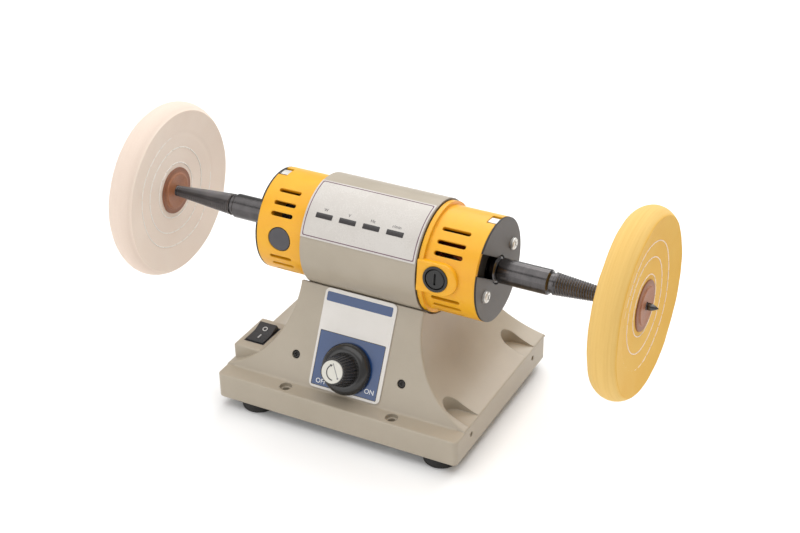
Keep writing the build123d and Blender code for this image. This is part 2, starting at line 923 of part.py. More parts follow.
def mount_screw(side):
    top = -housing_bore - mount_screw_tip_gap
    seat = -housing_radius - wall
    screw = hexagon(mount_screw_head_width, seat - mount_screw_head_height, seat)
    screw += post(mount_screw_radius, seat, top)
    return motor_place * Pos(side * mount_screw_spacing / 2, 0, 0) * screw


# End caps, drawn for the right end with the outer rim at zero
def vent(length, inset, angle):
    outline = Plane.XZ.offset(cap_bore - cut_over) * SlotOverall(length, vent_width)
    cutter = extrude(outline, cap_wall + 2 * cut_over)
    return Rot(-angle, 0, 0) * Pos(-inset - length / 2, 0, 0) * cutter


def vents(length, inset):
    offsets = [sign * offset for sign in sides for offset in vent_offsets]
    return [vent(length, inset, angle + offset) for angle in brush_angles for offset in offsets]


def bracket_drills(radius, start, end):
    return [axial_bar(radius, start, end, bracket_screw_circle, angle) for angle in bracket_screw_angles]


def cap_details(cap, vent_length, vent_inset):
    # The rim under the end plate, the shelf for the bearing bracket, the vents and the notch in the rim
    cap += ring(cap_radius, cap_bore, -cut_over, plate_seat)
    cap += ring(cap_bore + cap_wall / 2, shelf_radius, shelf_face - shelf_thickness, shelf_face)
    cap -= bracket_drills(bracket_screw_radius + push_fit, shelf_face - 2 * shelf_thickness, 0)
    cap -= vents(vent_length, vent_inset)
    outside = cap_radius + cut_over
    return cap - radial_block(2 * notch_length, notch_width, cap_bore - cut_over, outside, 0, notch_angle)


def brush_boss(angle):
    # A flat-topped tongue from the flange to a round end beyond the brush, with its top edge rounded
    start = -right_cap_length
    end = start + brush_offset + boss_reach
    depth = boss_height - cap_bore
    straight = Box(end - start, depth, 2 * boss_half_width, align=(Align.MIN, Align.MAX, Align.CENTER))
    tongue = Pos(start, 0, 0) * straight
    tongue += Pos(end, -depth / 2, 0) * Cylinder(boss_half_width, depth, rotation=(90, 0, 0))
    top = tongue.faces().sort_by(Axis.Y)[0]
    rounded = [edge for edge in top.edges() if edge.center().X > start + close]
    return Rot(-angle, 0, 0) * Pos(0, -cap_bore, 0) * fillet(rounded, boss_round)


def right_end_cap():
    start = -right_cap_length
    cap = ring(housing_bore - push_fit, cap_bore, start - cap_gap - cap_spigot, start)
    cap += ring(flange_radius, cap_bore, start, start + flange_width)
    cap += ring(cap_radius, cap_bore, start, 0)
    cap += [brush_boss(angle) - ring(cap_bore, 0, start, 0) for angle in brush_angles]
    station = start + brush_offset
    hole = holder_radius + push_fit
    cap -= [spoke(hole, shelf_radius, boss_height + cut_over, station, angle) for angle in brush_angles]
    return at_end(cap_details(cap, right_vent_length, right_vent_inset), 1)


def left_end_cap():
    start = -left_cap_length
    cap = ring(housing_bore - push_fit, cap_bore, start - cap_spigot, start)
    cap += ring(cap_radius, cap_bore, start, 0)
    hole = plug_radius + push_fit
    cap -= [spoke(hole, shelf_radius, cap_radius + cut_over, -plug_inset, angle) for angle in plug_angles]
    return at_end(cap_details(cap, left_vent_length, left_vent_inset), -1)


def plug_step(radius, outer, angle):
    # A length of a plug, cut off round the motor's axis inside and outside
    bar = spoke(radius, shelf_radius, cap_radius + cut_over, -plug_inset, angle)
    inner = cap_bore - plug_lip_depth
    return bar & ring(outer, inner, -plug_inset - 2 * radius, -plug_inset + 2 * radius)


def end_cap_plug(angle):
    # A plug that lies flush outside, with a groove round its top and a lip behind the cap's wall
    stem = plug_step(plug_radius, cap_radius - plug_groove_depth, angle)
    top = plug_step(plug_radius - plug_groove, cap_radius, angle)
    lip = plug_step(plug_radius + plug_lip, cap_bore - push_fit, angle)
    return at_end(stem + top + lip, -1)


def locating_key():
    # A key that lies in the notch of a cap's rim, between the notch's end and the end plate
    length = notch_length + plate_seat - 2 * push_fit
    middle = (plate_seat - notch_length) / 2
    block = radial_block(length, key_width, cap_bore, cap_radius, middle, notch_angle)
    return block & ring(cap_radius - key_drop, cap_bore, -notch_length, plate_seat)


def end_plate():
    plate = ring(plate_radius, plate_hole_radius, plate_seat, plate_face)
    register_radius = cap_bore - push_fit
    register_bore = register_radius - plate_register_wall
    plate += ring(register_radius, register_bore, plate_seat - plate_register, plate_seat + plate_thickness / 2)
    outside = plate_radius + cut_over
    plate -= radial_block(2 * (plate_face + cut_over), plate_slot_width, 0, outside, 0, plate_slot_angle)
    return plate - bracket_drills(plate_screw_hole_radius, -cut_over, plate_face + cut_over)


def bearing_bracket():
    solid = ring(cap_bore - push_fit, bracket_lip_radius, shelf_face, bracket_face)
    solid += ring(bracket_hub_radius, bracket_lip_radius, bearing_inner_face, bracket_face)
    solid -= ring(bearing_radius + push_fit, 0, bearing_inner_face - cut_over, bearing_outer_face)
    return solid - bracket_drills(bracket_screw_radius + push_fit, shelf_face - cut_over, 0)


def bracket_screw(angle):
    screw = pan_screw(
        bracket_screw_head_radius, bracket_screw_head_height, bracket_screw_radius, bracket_screw_length
    )
    return Rot(-angle, 0, 0) * Pos(plate_face, -bracket_screw_circle, 0) * Rot(0, 90, 0) * screw


# Ball bearings
def race_groove():
    middle = (bearing_inner_face + bearing_outer_face) / 2
    return Pos(middle, 0, 0) * Torus(ball_pitch_radius, ball_radius + ball_clearance, rotation=(0, 90, 0))


def bearing_outer_ring():
    sleeve = ring(bearing_radius, bearing_outer_land, bearing_inner_face, bearing_outer_face)
    return sleeve - race_groove()


def bearing_inner_ring():
    sleeve = ring(bearing_inner_land, bearing_bore_radius, bearing_inner_face, bearing_outer_face)
    return sleeve - race_groove()


def bearing_balls():
    middle = (bearing_inner_face + bearing_outer_face) / 2
    turns = [Rot(360 * index / ball_count, 0, 0) for index in range(ball_count)]
    spots = [turn * Pos(middle, -ball_pitch_radius, 0) for turn in turns]
    cage = ring(
        ball_pitch_radius + cage_half_thickness,
        ball_pitch_radius - cage_half_thickness,
        middle - cage_width / 2,
        middle + cage_width / 2,
    )
    cage -= [spot * Sphere(ball_radius + cage_clearance) for spot in spots]
    return [spot * Sphere(ball_radius) for spot in spots] + [cage]


# Brush gear
def brush_holder(angle):
    inner = commutator_radius + holder_standoff
    holder = spoke(holder_radius, inner, holder_outer, brush_x, angle)
    width = brush_width + 2 * running_fit
    thickness = brush_thickness + 2 * running_fit
    holder -= radial_block(width, thickness, inner - cut_over, cap_inner, brush_x, angle)
    holder -= spoke(brush_cap_radius + push_fit, cap_inner, holder_outer + cut_over, brush_x, angle)
    return motor_place * holder


def brush_cap(angle):
    # A cap with a bevelled edge and a screwdriver's slot, flush with its holder
    cap = post(brush_cap_radius, -brush_cap_depth, 0)
    cap = chamfer(cap.edges().group_by(Axis.Z)[-1], brush_cap_chamfer)
    cap -= Box(brush_cap_slot_width, brush_cap_slot_length, 2 * brush_cap_slot_depth)
    outwards = Rot(-angle, 0, 0) * Pos(brush_x, -holder_outer, 0) * Rot(90, 0, 0)
    return motor_place * outwards * cap


def carbon_brush(angle):
    outer = brush_inner + brush_length
    return motor_place * radial_block(brush_width, brush_thickness, brush_inner, outer, brush_x, angle)


def brush_spring(angle):
    inner = brush_inner + brush_length
    tube = spoke(brush_spring_radius, inner, cap_inner, brush_x, angle)
    tube -= spoke(brush_spring_radius - brush_spring_wire, inner, cap_inner, brush_x, angle)
    return motor_place * tube


# Stator
def stator_core():
    start = stator_x - stator_length / 2
    end = stator_x + stator_length / 2
    core = ring(housing_bore - push_fit, yoke_bore, start, end)
    outer = yoke_bore + stator_yoke / 2
    half = pole_arc / 2
    for middle in pole_angles:
        core += sector(outer, stator_bore_radius, start, end, middle - half, middle + half)
    return motor_place * core


def field_coil(middle):
    # A winding bent round its pole, with a window for the pole
    start = stator_x - stator_length / 2
    end = stator_x + stator_length / 2
    inner = stator_bore_radius + coil_lift
    outer = inner + coil_depth
    half = pole_arc / 2 + coil_arc
    coil = sector(outer, inner, start - coil_overhang, end + coil_overhang, middle - half, middle + half)
    half = pole_arc / 2 + coil_gap_angle
    window = sector(
        outer + cut_over, inner - cut_over, start - coil_gap, end + coil_gap, middle - half, middle + half
    )
    return motor_place * (coil - window)


# Rotor
def armature_turns():
    return [360 * index / armature_slots for index in range(armature_slots)]


def rotor_shaft():
    stub_radius = bearing_bore_radius - push_fit
    left_shoulder = -left_reach - bearing_inner_face
    right_shoulder = right_reach + bearing_inner_face
    shaft = ring(shaft_radius, 0, left_shoulder, right_shoulder)
    return motor_place * (shaft + ring(stub_radius, 0, -left_reach - shaft_stub, right_reach + shaft_stub))


def armature_core():
    start = stator_x - stator_length / 2
    end = stator_x + stator_length / 2
    core = ring(armature_radius, shaft_radius + push_fit, start, end)
    floor = armature_radius - armature_slot_depth
    top = armature_radius + cut_over
    length = stator_length + 2 * cut_over
    width = armature_slot_width
    slots = [radial_block(length, width, floor, top, stator_x, turn) for turn in armature_turns()]
    return motor_place * (core - slots)


def armature_windings():
    start = stator_x - stator_length / 2
    end = stator_x + stator_length / 2
    outer = armature_radius - winding_drop
    inner = armature_radius - armature_slot_depth + push_fit
    width = armature_slot_width - 2 * push_fit
    length = stator_length + winding_overhang
    coil = ring(outer, winding_inner_radius, start - winding_overhang, start)
    coil += ring(outer, winding_inner_radius, end, end + winding_overhang)
    coil += [radial_block(length, width, inner, outer, stator_x, turn) for turn in armature_turns()]
    return motor_place * coil


def commutator():
    start = brush_x - commutator_length / 2
    end = brush_x + commutator_length / 2
    bore = shaft_radius + push_fit
    body = ring(commutator_radius, bore, start, end)
    floor = commutator_radius - commutator_groove_depth
    top = commutator_radius + cut_over
    length = commutator_length + 2 * cut_over
    turns = [360 * index / commutator_bars for index in range(commutator_bars)]
    body -= [radial_block(length, commutator_groove, floor, top, brush_x, turn) for turn in turns]
    return motor_place * (body + ring(riser_radius, bore, start - riser_length, start))


def cooling_fan():
    face = housing_left - fan_offset
    back = face - fan_disc
    tip = back - fan_blade_length
    fan = ring(fan_hub_radius, shaft_radius + push_fit, tip, face)
    fan += ring(fan_radius, shaft_radius + push_fit, back, face)
    middle = (tip + face) / 2
    inner = (shaft_radius + fan_hub_radius) / 2
    turns = [360 * index / fan_blade_count for index in range(fan_blade_count)]
    fan += [radial_block(face - tip, fan_blade_thickness, inner, fan_radius, middle, turn) for turn in turns]
    return motor_place * fan


# Spindles and wheels, drawn for the right end with the cap's rim at zero
def taper_radius(station):
    share = (station - taper_start) / taper_length
    return taper_start_radius + (taper_end_radius - taper_start_radius) * share


def thread_outline():
    # Root and crest in turn along the taper
    turns = int(taper_length / thread_pitch)
    pitch = taper_length / turns
    points = []
    for index in range(turns):
        root = taper_start + index * pitch
        crest = root + pitch / 2
        points += [(root, taper_radius(root) - thread_depth), (crest, taper_radius(crest))]
    return points


def spindle():
    collar_end = collar_start + collar_length
    groove_end = collar_end + collar_groove
    groove_radius = sleeve_radius - collar_groove_depth
    tip = taper_start + taper_length + tip_length
    bore_end = shaft_stub + spindle_bore_gap
    outline = [
        (bearing_outer_face, bearing_bore_radius),
        (bearing_outer_face, nose_radius),
        (collar_start, nose_radius),
        (collar_start, collar_radius - collar_chamfer),
        (collar_start + collar_chamfer, collar_radius),
        (collar_end - collar_chamfer, collar_radius),
        (collar_end, collar_radius - collar_chamfer),
        (collar_end, groove_radius),
        (groove_end, groove_radius),
        (groove_end, sleeve_radius),
        (sleeve_end - sleeve_chamfer, sleeve_radius),
        (sleeve_end, sleeve_radius - sleeve_chamfer),
        (sleeve_end, neck_radius),
        (taper_start, neck_radius),
    ]
    outline += thread_outline()
    outline += [
        (taper_start + taper_length, taper_end_radius),
        (tip, tip_radius),
        (tip, 0),
        (bore_end, 0),
        (bore_end, bearing_bore_radius),
    ]
    return turned(outline)


def half_thickness(radius):
    # Half of a wheel's thickness, which grows evenly from its flat middle to its edge
    share = max(0, radius - wheel_slope_radius) / (wheel_edge_radius - wheel_slope_radius)
    return (wheel_hub_thickness + share * (wheel_edge_thickness - wheel_hub_thickness)) / 2


def stitched_face(side):
    # Corners up one face of a wheel, with a groove at each row of stitches
    hub = wheel_middle + side * wheel_hub_thickness / 2
    places = [(taper_radius(hub) + wheel_bore_gap, 0), (wheel_slope_radius, 0), (wheel_edge_radius, 0)]
    for radius in stitch_radii:
        places += [(radius - stitch_width / 2, 0), (radius, stitch_depth), (radius + stitch_width / 2, 0)]
    return [
        (wheel_middle + side * (half_thickness(radius) - depth), radius) for radius, depth in sorted(places)
    ]


def buffing_wheel():
    near = stitched_face(-1)
    far = stitched_face(1)
    rim = ThreePointArc(near[-1], (wheel_middle, wheel_radius), far[-1])
    rest = Polyline(far[::-1] + near)
    return revolve(make_face((rim + rest).edges()), Axis.X)


def hub_disc(side):
    # A thin disc with a smaller one on it, on one face of a wheel
    face = wheel_middle + side * wheel_hub_thickness / 2
    step = face + side * hub_disc_thickness
    end = step + side * hub_boss_thickness
    bore = taper_radius(min(face, end)) + wheel_bore_gap
    disc = ring(hub_disc_radius, bore, min(face, step), max(face, step))
    return disc + ring(hub_boss_radius, bore, min(step, end), max(step, end))


solids["base_casting"] = base_casting()
solids["bottom_cover"] = bottom_cover()
solids["rubber_feet"] = group(rubber_foot(x, y) for x, y in foot_spots())
solids["foot_screws"] = group(foot_screw(x, y) for x, y in foot_spots())

solids["control_panel"] = control_panel()
solids["potentiometer_body"] = potentiometer_body()
solids["potentiometer_nut"] = potentiometer_nut()
solids["potentiometer_shaft"] = potentiometer_shaft()
solids["control_knob"] = control_knob()
solids["knob_cap"] = knob_cap()
solids["front_screws"] = group(front_screw(side) for side in sides)
solids["board_standoffs"] = group(board_standoff(side) for side in sides)
solids["board_nuts"] = group(board_nut(side) for side in sides)
solids["control_board"] = control_board()
solids["heat_sink"] = heat_sink()
solids["filter_capacitor"] = filter_capacitor()

solids["rocker_switch_body"] = rocker_switch_body()
solids["rocker"] = rocker()
solids["switch_terminals"] = group(switch_terminal(side) for side in sides)

solids["gland_body"] = gland_body()
solids["gland_dome_nut"] = gland_dome_nut()
solids["gland_seal"] = gland_seal()
solids["gland_locknut"] = gland_locking_nut()

solids["motor_housing"] = motor_housing()
solids["motor_label"] = motor_label()
solids["motor_mount_screws"] = group(mount_screw(side) for side in sides)
solids["right_end_cap"] = right_end_cap()
solids["left_end_cap"] = left_end_cap()
solids["end_cap_plugs"] = group(end_cap_plug(angle) for angle in plug_angles)
solids["locating_keys"] = group(at_end(locating_key(), side) for side in sides)
solids["bracket_screws"] = group(
    at_end(bracket_screw(angle), side) for side in sides for angle in bracket_screw_angles
)

solids["brush_holders"] = group(brush_holder(angle) for angle in brush_angles)
solids["brush_caps"] = group(brush_cap(angle) for angle in brush_angles)
for place, angle in zip(("front", "rear"), brush_angles):
    solids[f"{place}_carbon_brush"] = carbon_brush(angle)
    solids[f"{place}_brush_spring"] = brush_spring(angle)

solids["stator_core"] = stator_core()
solids["field_coils"] = group(field_coil(middle) for middle in pole_angles)
solids["rotor_shaft"] = rotor_shaft()
solids["armature_core"] = armature_core()
solids["armature_windings"] = armature_windings()
solids["commutator"] = commutator()
solids["cooling_fan"] = cooling_fan()

for side in sides:
    name = side_name(side)
    solids[f"{name}_end_plate"] = at_end(end_plate(), side)
    solids[f"{name}_bearing_bracket"] = at_end(bearing_bracket(), side)
    solids[f"{name}_bearing_outer_ring"] = at_end(bearing_outer_ring(), side)
    solids[f"{name}_bearing_inner_ring"] = at_end(bearing_inner_ring(), side)
    solids[f"{name}_bearing_balls"] = group(at_end(piece, side) for piece in bearing_balls())
    solids[f"{name}_spindle"] = at_end(spindle(), side)
    solids[f"{name}_buffing_wheel"] = at_end(buffing_wheel(), side)
    solids[f"{name}_wheel_hub_discs"] = group(at_end(hub_disc(face), side) for face in sides)

for name, solid in solids.items():
    export_step(solid, f"parts/{name}.step")
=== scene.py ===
import json
from math import cos, radians, sin

import bpy
import numpy as np
from mathutils import Matrix, Vector


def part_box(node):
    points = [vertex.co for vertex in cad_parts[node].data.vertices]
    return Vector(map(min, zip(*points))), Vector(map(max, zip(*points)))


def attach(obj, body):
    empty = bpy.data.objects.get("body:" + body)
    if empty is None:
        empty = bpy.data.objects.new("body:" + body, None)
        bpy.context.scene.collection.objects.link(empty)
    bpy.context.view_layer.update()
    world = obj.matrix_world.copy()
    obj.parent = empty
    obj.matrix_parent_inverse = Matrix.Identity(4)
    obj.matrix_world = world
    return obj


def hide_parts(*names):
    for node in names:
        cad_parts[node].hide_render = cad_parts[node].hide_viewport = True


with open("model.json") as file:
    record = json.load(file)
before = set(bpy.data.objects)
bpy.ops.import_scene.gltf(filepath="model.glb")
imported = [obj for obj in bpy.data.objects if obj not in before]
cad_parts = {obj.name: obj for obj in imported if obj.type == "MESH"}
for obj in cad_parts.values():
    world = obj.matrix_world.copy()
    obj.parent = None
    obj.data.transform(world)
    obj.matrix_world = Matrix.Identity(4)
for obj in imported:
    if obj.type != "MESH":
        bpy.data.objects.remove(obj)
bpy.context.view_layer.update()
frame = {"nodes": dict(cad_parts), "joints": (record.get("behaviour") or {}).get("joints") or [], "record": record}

nodes = frame["nodes"]
joints = {joint["name"]: joint for joint in frame["joints"]}
mm = 0.001
turn = 2 * np.pi
axle = np.array(joints["rotor_spin"]["pos_m"])  # a point on the motor's axis
print("frame loaded:", len(nodes), "nodes")


# Meshes from grids
noFans = np.zeros((0, 3), int)


def gridFaces(rows, columns, closeRows, closeColumns):
    # Quads between neighbours of a rows by columns grid, joined round where a side is closed
    down = np.arange(rows if closeRows else rows - 1)
    across = np.arange(columns if closeColumns else columns - 1)
    i, j = (part.ravel() for part in np.meshgrid(down, across, indexing="ij"))
    below, beside = (i + 1) % rows, (j + 1) % columns
    corners = [(i, j), (below, j), (below, beside), (i, beside)]
    return np.stack([row * columns + column for row, column in corners], 1)


def poleFans(rows, columns):
    # Triangles that close the first and last row of a grid on two pole points stored after it
    j = np.arange(columns)
    beside = (j + 1) % columns
    first, last = np.full(columns, rows * columns), np.full(columns, rows * columns + 1)
    end = (rows - 1) * columns
    return np.concatenate([np.stack([first, j, beside], 1), np.stack([last, end + beside, end + j], 1)])


def enclosed(points, quads):
    # Signed volume of a closed grid, six times over: the triple products of its triangles added up
    a, b, c, d = (points[quads[:, k]] for k in range(4))
    return np.einsum("ij,ij->", a, np.cross(b, c)) + np.einsum("ij,ij->", a, np.cross(c, d))


def show(name, mesh, finish, body):
    # Links a finished mesh as a piece that rides on a body
    mesh.materials.clear()
    mesh.materials.append(finishes[finish])
    piece = bpy.data.objects.new(name, mesh)
    bpy.context.scene.collection.objects.link(piece)
    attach(piece, body)
    return piece


def newPiece(name, points, quads, fans, finish, body, sharp=38):
    # Puts a closed grid into a mesh that faces outwards and is smooth but for its sharp edges
    if enclosed(points - points.mean(0), quads) < 0:
        quads, fans = quads[:, ::-1], fans[:, ::-1]
    mesh = bpy.data.meshes.new(name)
    mesh.from_pydata(points.tolist(), [], quads.tolist() + fans.tolist())
    mesh.shade_smooth()
    mesh.set_sharp_from_angle(angle=radians(sharp))
    return show(name, mesh, finish, body)


def aboutAxle(stations, radii, angles):
    # Points at a station along the axle, a radius from it and an angle round it
    stations, radii, angles = np.broadcast_arrays(stations, radii, angles)
    return np.stack([stations, axle[1] + radii * np.cos(angles), axle[2] + radii * np.sin(angles)], -1)


def between(low, high, value):
    # Smooth step from 0 at low to 1 at high
    share = np.clip((value - low) / (high - low), 0, 1)
    return share * share * (3 - 2 * share)


def waves(angles, seed, table):
    # Waves round the axle added up, each given by its count, its height and how often the seed shifts it
    return sum(height * np.sin(count * angles + shift * seed) for count, height, shift in table)


def meshPoints(node):
    # All points of a CAD node's mesh
    return np.array([vertex.co for vertex in nodes[node].data.vertices])


# Shader nodes
def tone(red, green, blue):
    # A screen colour from 0 to 255 as the linear light that a shader takes
    share = np.array([red, green, blue]) / 255
    light = np.where(share <= 0.04045, share / 12.92, ((share + 0.055) / 1.055) ** 2.4)
    return (*light.tolist(), 1.0)


def put(tree, kind, settings, inputs):
    # Adds a shader node, sets its properties and fills its inputs with values or links
    node = tree.nodes.new("ShaderNode" + kind)
    for key, value in settings.items():
        setattr(node, key, value)
    for key, value in inputs.items():
        if isinstance(value, bpy.types.NodeSocket):
            tree.links.new(value, node.inputs[key])
        else:
            node.inputs[key].default_value = value
    return node


def noise(tree, where, scale, detail=3.0, rough=0.55):
    settings = {"Vector": where, "Scale": scale, "Detail": detail, "Roughness": rough}
    return put(tree, "TexNoise", {}, settings).outputs["Fac"]


def mixTones(tree, share, first, second):
    return put(tree, "Mix", {"data_type": "RGBA"}, {0: share, 6: first, 7: second}).outputs[2]


def spread(tree, value, low, high, fromLow=0.3, fromHigh=0.7):
    inputs = {"Value": value, "From Min": fromLow, "From Max": fromHigh, "To Min": low, "To Max": high}
    return put(tree, "MapRange", {}, inputs).outputs[0]


def compute(tree, operation, first, second):
    return put(tree, "Math", {"operation": operation}, {0: first, 1: second}).outputs[0]


def attribute(tree, name):
    return put(tree, "Attribute", {"attribute_name": name}, {}).outputs["Fac"]


def placedCoords(tree, stretch=(1, 1, 1)):
    place = put(tree, "TexCoord", {}, {}).outputs["Object"]
    return put(tree, "Mapping", {}, {"Vector": place, "Scale": stretch}).outputs[0]


def bumped(tree, height, depth, strength, under=None):
    inputs = {"Height": height, "Distance": depth, "Strength": strength}
    if under:
        inputs["Normal"] = under
    return put(tree, "Bump", {}, inputs).outputs[0]


def wearAndHighlight(tree, radius):
    # How far a rounded normal leans from the true one, which is largest along edges; it masks the paler edges,
    # part rubbing and part painted highlight
    rounded = put(tree, "Bevel", {"samples": 4}, {"Radius": radius}).outputs[0]
    true = put(tree, "NewGeometry", {}, {}).outputs["Normal"]
    along = put(tree, "VectorMath", {"operation": "DOT_PRODUCT"}, {0: rounded, 1: true}).outputs["Value"]
    return rounded, spread(tree, along, 1.0, 0.0, 0.80, 0.995)


def alongAxle(tree):
    # Square of the normal's share along the motor's axis: 1 on its end faces, 0 on its round sides
    facing = put(tree, "TexCoord", {}, {}).outputs["Normal"]
    share = put(tree, "SeparateXYZ", {}, {"Vector": facing}).outputs["X"]
    return compute(tree, "MULTIPLY", share, share)


def newTree(name):
    material = bpy.data.materials.new(name)
    material.use_nodes = True
    tree = material.node_tree
    tree.nodes.clear()
    shader = put(tree, "BsdfPrincipled", {}, {})
    put(tree, "OutputMaterial", {}, {"Surface": shader.outputs[0]})
    return material, tree, shader


def dress(tree, shader, colour, rough, normal, fixed):
    # Links what varies over the surface and sets what doesn't on the shader itself
    tree.links.new(colour, shader.inputs["Base Color"])
    tree.links.new(rough, shader.inputs["Roughness"])
    tree.links.new(normal, shader.inputs["Normal"])
    for socket, value in fixed.items():
        shader.inputs[socket].default_value = value


# Finishes, one material for each slot of the record and each ink
def plainFinish(name, look):
    # Two tones in soft patches, uneven gloss, a fine grain in the normal and paler edges, part rubbing and part
    # painted highlight
    material, tree, shader = newTree(name)
    where = placedCoords(tree, look.get("stretch", (1, 1, 1)))
    patches = noise(tree, where, look["patch"])
    grain = noise(tree, where, look["grain"], 2.0)
    colour = mixTones(tree, spread(tree, patches, 0.0, 1.0), *look["tones"])
    speckle = spread(tree, grain, 0.0, look.get("speckle", 0.25), 0.45, 0.75)
    colour = mixTones(tree, speckle, colour, look["tones"][1])
    under = None
    if "edge" in look:
        under, edges = wearAndHighlight(tree, look["edge"])
        # edge lightening: part rubbing, part painted highlight
        colour = mixTones(tree, compute(tree, "MULTIPLY", edges, look["wear"]), colour, look["wornTone"])
    if "cutTone" in look:
        # a tone laid by how far the normal faces along the axis: painted shade on the housing's end faces, a
        # darker round rim on the end plates
        colour = mixTones(tree, spread(tree, alongAxle(tree), *look["cutShares"]), colour, look["cutTone"])
    rough = spread(tree, compute(tree, "ADD", patches, grain), *look["rough"], 0.7, 1.3)
    normal = bumped(tree, grain, look["depth"], look["strength"], under)
    dress(tree, shader, colour, rough, normal, look.get("shader", {}))
    return material


ringSpread, layerSpread = 30, 22  # noise scales across the lathe's rings and across the cloth's layers


def turnedFinish(name, look):
    # Fine rings about the motor's axis, as a lathe leaves them, over the two soft tones
    material, tree, shader = newTree(name)
    rings = noise(tree, placedCoords(tree, (look["rings"], ringSpread, ringSpread)), 1.0, 4.0)
    patches = noise(tree, placedCoords(tree), look["patch"])
    share = spread(tree, compute(tree, "ADD", rings, patches), 0.0, 1.0, 0.75, 1.25)
    colour = mixTones(tree, share, *look["tones"])
    under, edges = wearAndHighlight(tree, look["edge"])
    # edge lightening: part rubbing, part painted highlight
    colour = mixTones(tree, compute(tree, "MULTIPLY", edges, look["wear"]), colour, look["wornTone"])
    rough = spread(tree, rings, *look["rough"])
    dress(tree, shader, colour, rough, bumped(tree, rings, look["depth"], 0.35, under), look["shader"])
    return material


def clothFinish(name, look):
    # Crossed threads on the flat sides, streaks of the layers' edges on the rim, painted shade where the pattern
    # sinks, and loose fibres over both
    material, tree, shader = newTree(name)
    where = placedCoords(tree)
    thread = {"Vector": where, "Scale": look["weave"]}
    thread.update({"Distortion": 1.2, "Detail": 2.0, "Detail Scale": 2.0})
    warp = put(tree, "TexWave", {"bands_direction": "Y"}, thread).outputs["Fac"]
    weft = put(tree, "TexWave", {"bands_direction": "Z"}, thread).outputs["Fac"]
    weave = compute(tree, "MAXIMUM", warp, weft)
    stretched = placedCoords(tree, (look["layers"], layerSpread, layerSpread))
    layers = spread(tree, noise(tree, stretched, 1.0, 4.0), 0.0, 1.0)
    onRim = attribute(tree, "rimShare")
    pattern = put(tree, "Mix", {"data_type": "FLOAT"}, {0: onRim, 2: weave, 3: layers}).outputs[0]
    fibres = noise(tree, where, look["fibre"], 5.0, 0.7)
    patches = noise(tree, where, look["patch"])
    colour = mixTones(tree, spread(tree, patches, 0.0, 1.0), *look["tones"])
    colour = mixTones(tree, onRim, colour, look["rimTone"])
    # painted shade in the sunk parts between threads and between the rim's layers
    hollowShade = spread(tree, pattern, look["threadShade"], 0.0, 0.0, 0.8)
    colour = mixTones(tree, hollowShade, colour, look["hollowShadeTone"])
    colour = mixTones(tree, spread(tree, fibres, 0.0, 0.25, 0.5, 0.8), colour, look["fibreTone"])
    rough = spread(tree, fibres, 0.8, 1.0)
    fuzz = bumped(tree, fibres, 0.2 * mm, 0.25)
    normal = bumped(tree, pattern, look["threadDepth"], 0.3, fuzz)
    dress(tree, shader, colour, rough, normal, look["shader"])
    return material


def leatherFinish(name, look):
    # Small pebbled cells with painted shade in the creases, darker outside the boss, and paler high edges, part
    # rubbing and part painted highlight
    material, tree, shader = newTree(name)
    where = placedCoords(tree)
    cell = {"Vector": where, "Scale": look["cell"], "Randomness": 1.0}
    cells = put(tree, "TexVoronoi", {"feature": "DISTANCE_TO_EDGE"}, cell).outputs["Distance"]
    creases = spread(tree, cells, 1.0, 0.0, 0.0, 0.16)
    patches = noise(tree, where, look["patch"], 4.0)
    colour = mixTones(tree, spread(tree, patches, 0.0, 1.0), *look["tones"])
    low = spread(tree, attribute(tree, "bossShare"), look["rimShade"], 0.0, 0.0, 1.0)
    colour = mixTones(tree, low, colour, look["creaseShadeTone"])
    # painted shade in the creases
    folds = compute(tree, "MULTIPLY", creases, look["creaseShade"])
    colour = mixTones(tree, folds, colour, look["creaseShadeTone"])
    under, edges = wearAndHighlight(tree, look["edge"])
    # edge lightening: part rubbing, part painted highlight
    colour = mixTones(tree, compute(tree, "MULTIPLY", edges, look["wear"]), colour, look["wornTone"])
    rough = spread(tree, patches, *look["rough"])
    dress(tree, shader, colour, rough, bumped(tree, creases, -look["depth"], 0.4, under), {})
    return material


def coated(dark, light, wearHighlight, rough, edge=0.3, wear=0.3, **others):
    # Settings of moulded plastic, film and paint: near tones, fine grain and paler edges, part rubbing and part
    # painted highlight
    look = {"patch": 60, "grain": 1500, "depth": 0.05 * mm, "strength": 0.25, "rough": rough, "wear": wear}
    tones = {"tones": (tone(*dark), tone(*light)), "wornTone": tone(*wearHighlight), "edge": edge * mm}
    return {**look, **tones, **others}


def bareMetal(dark, light, wearHighlight, rough, edge=0.25, wear=0.4, metal=1.0, **others):
    # Settings of uncoated metal: coarser patches and grain
    grain = {"patch": 90, "grain": 900, "strength": 0.3, "shader": {"Metallic": metal}}
    return {**coated(dark, light, wearHighlight, rough, edge, wear), **grain, **others}


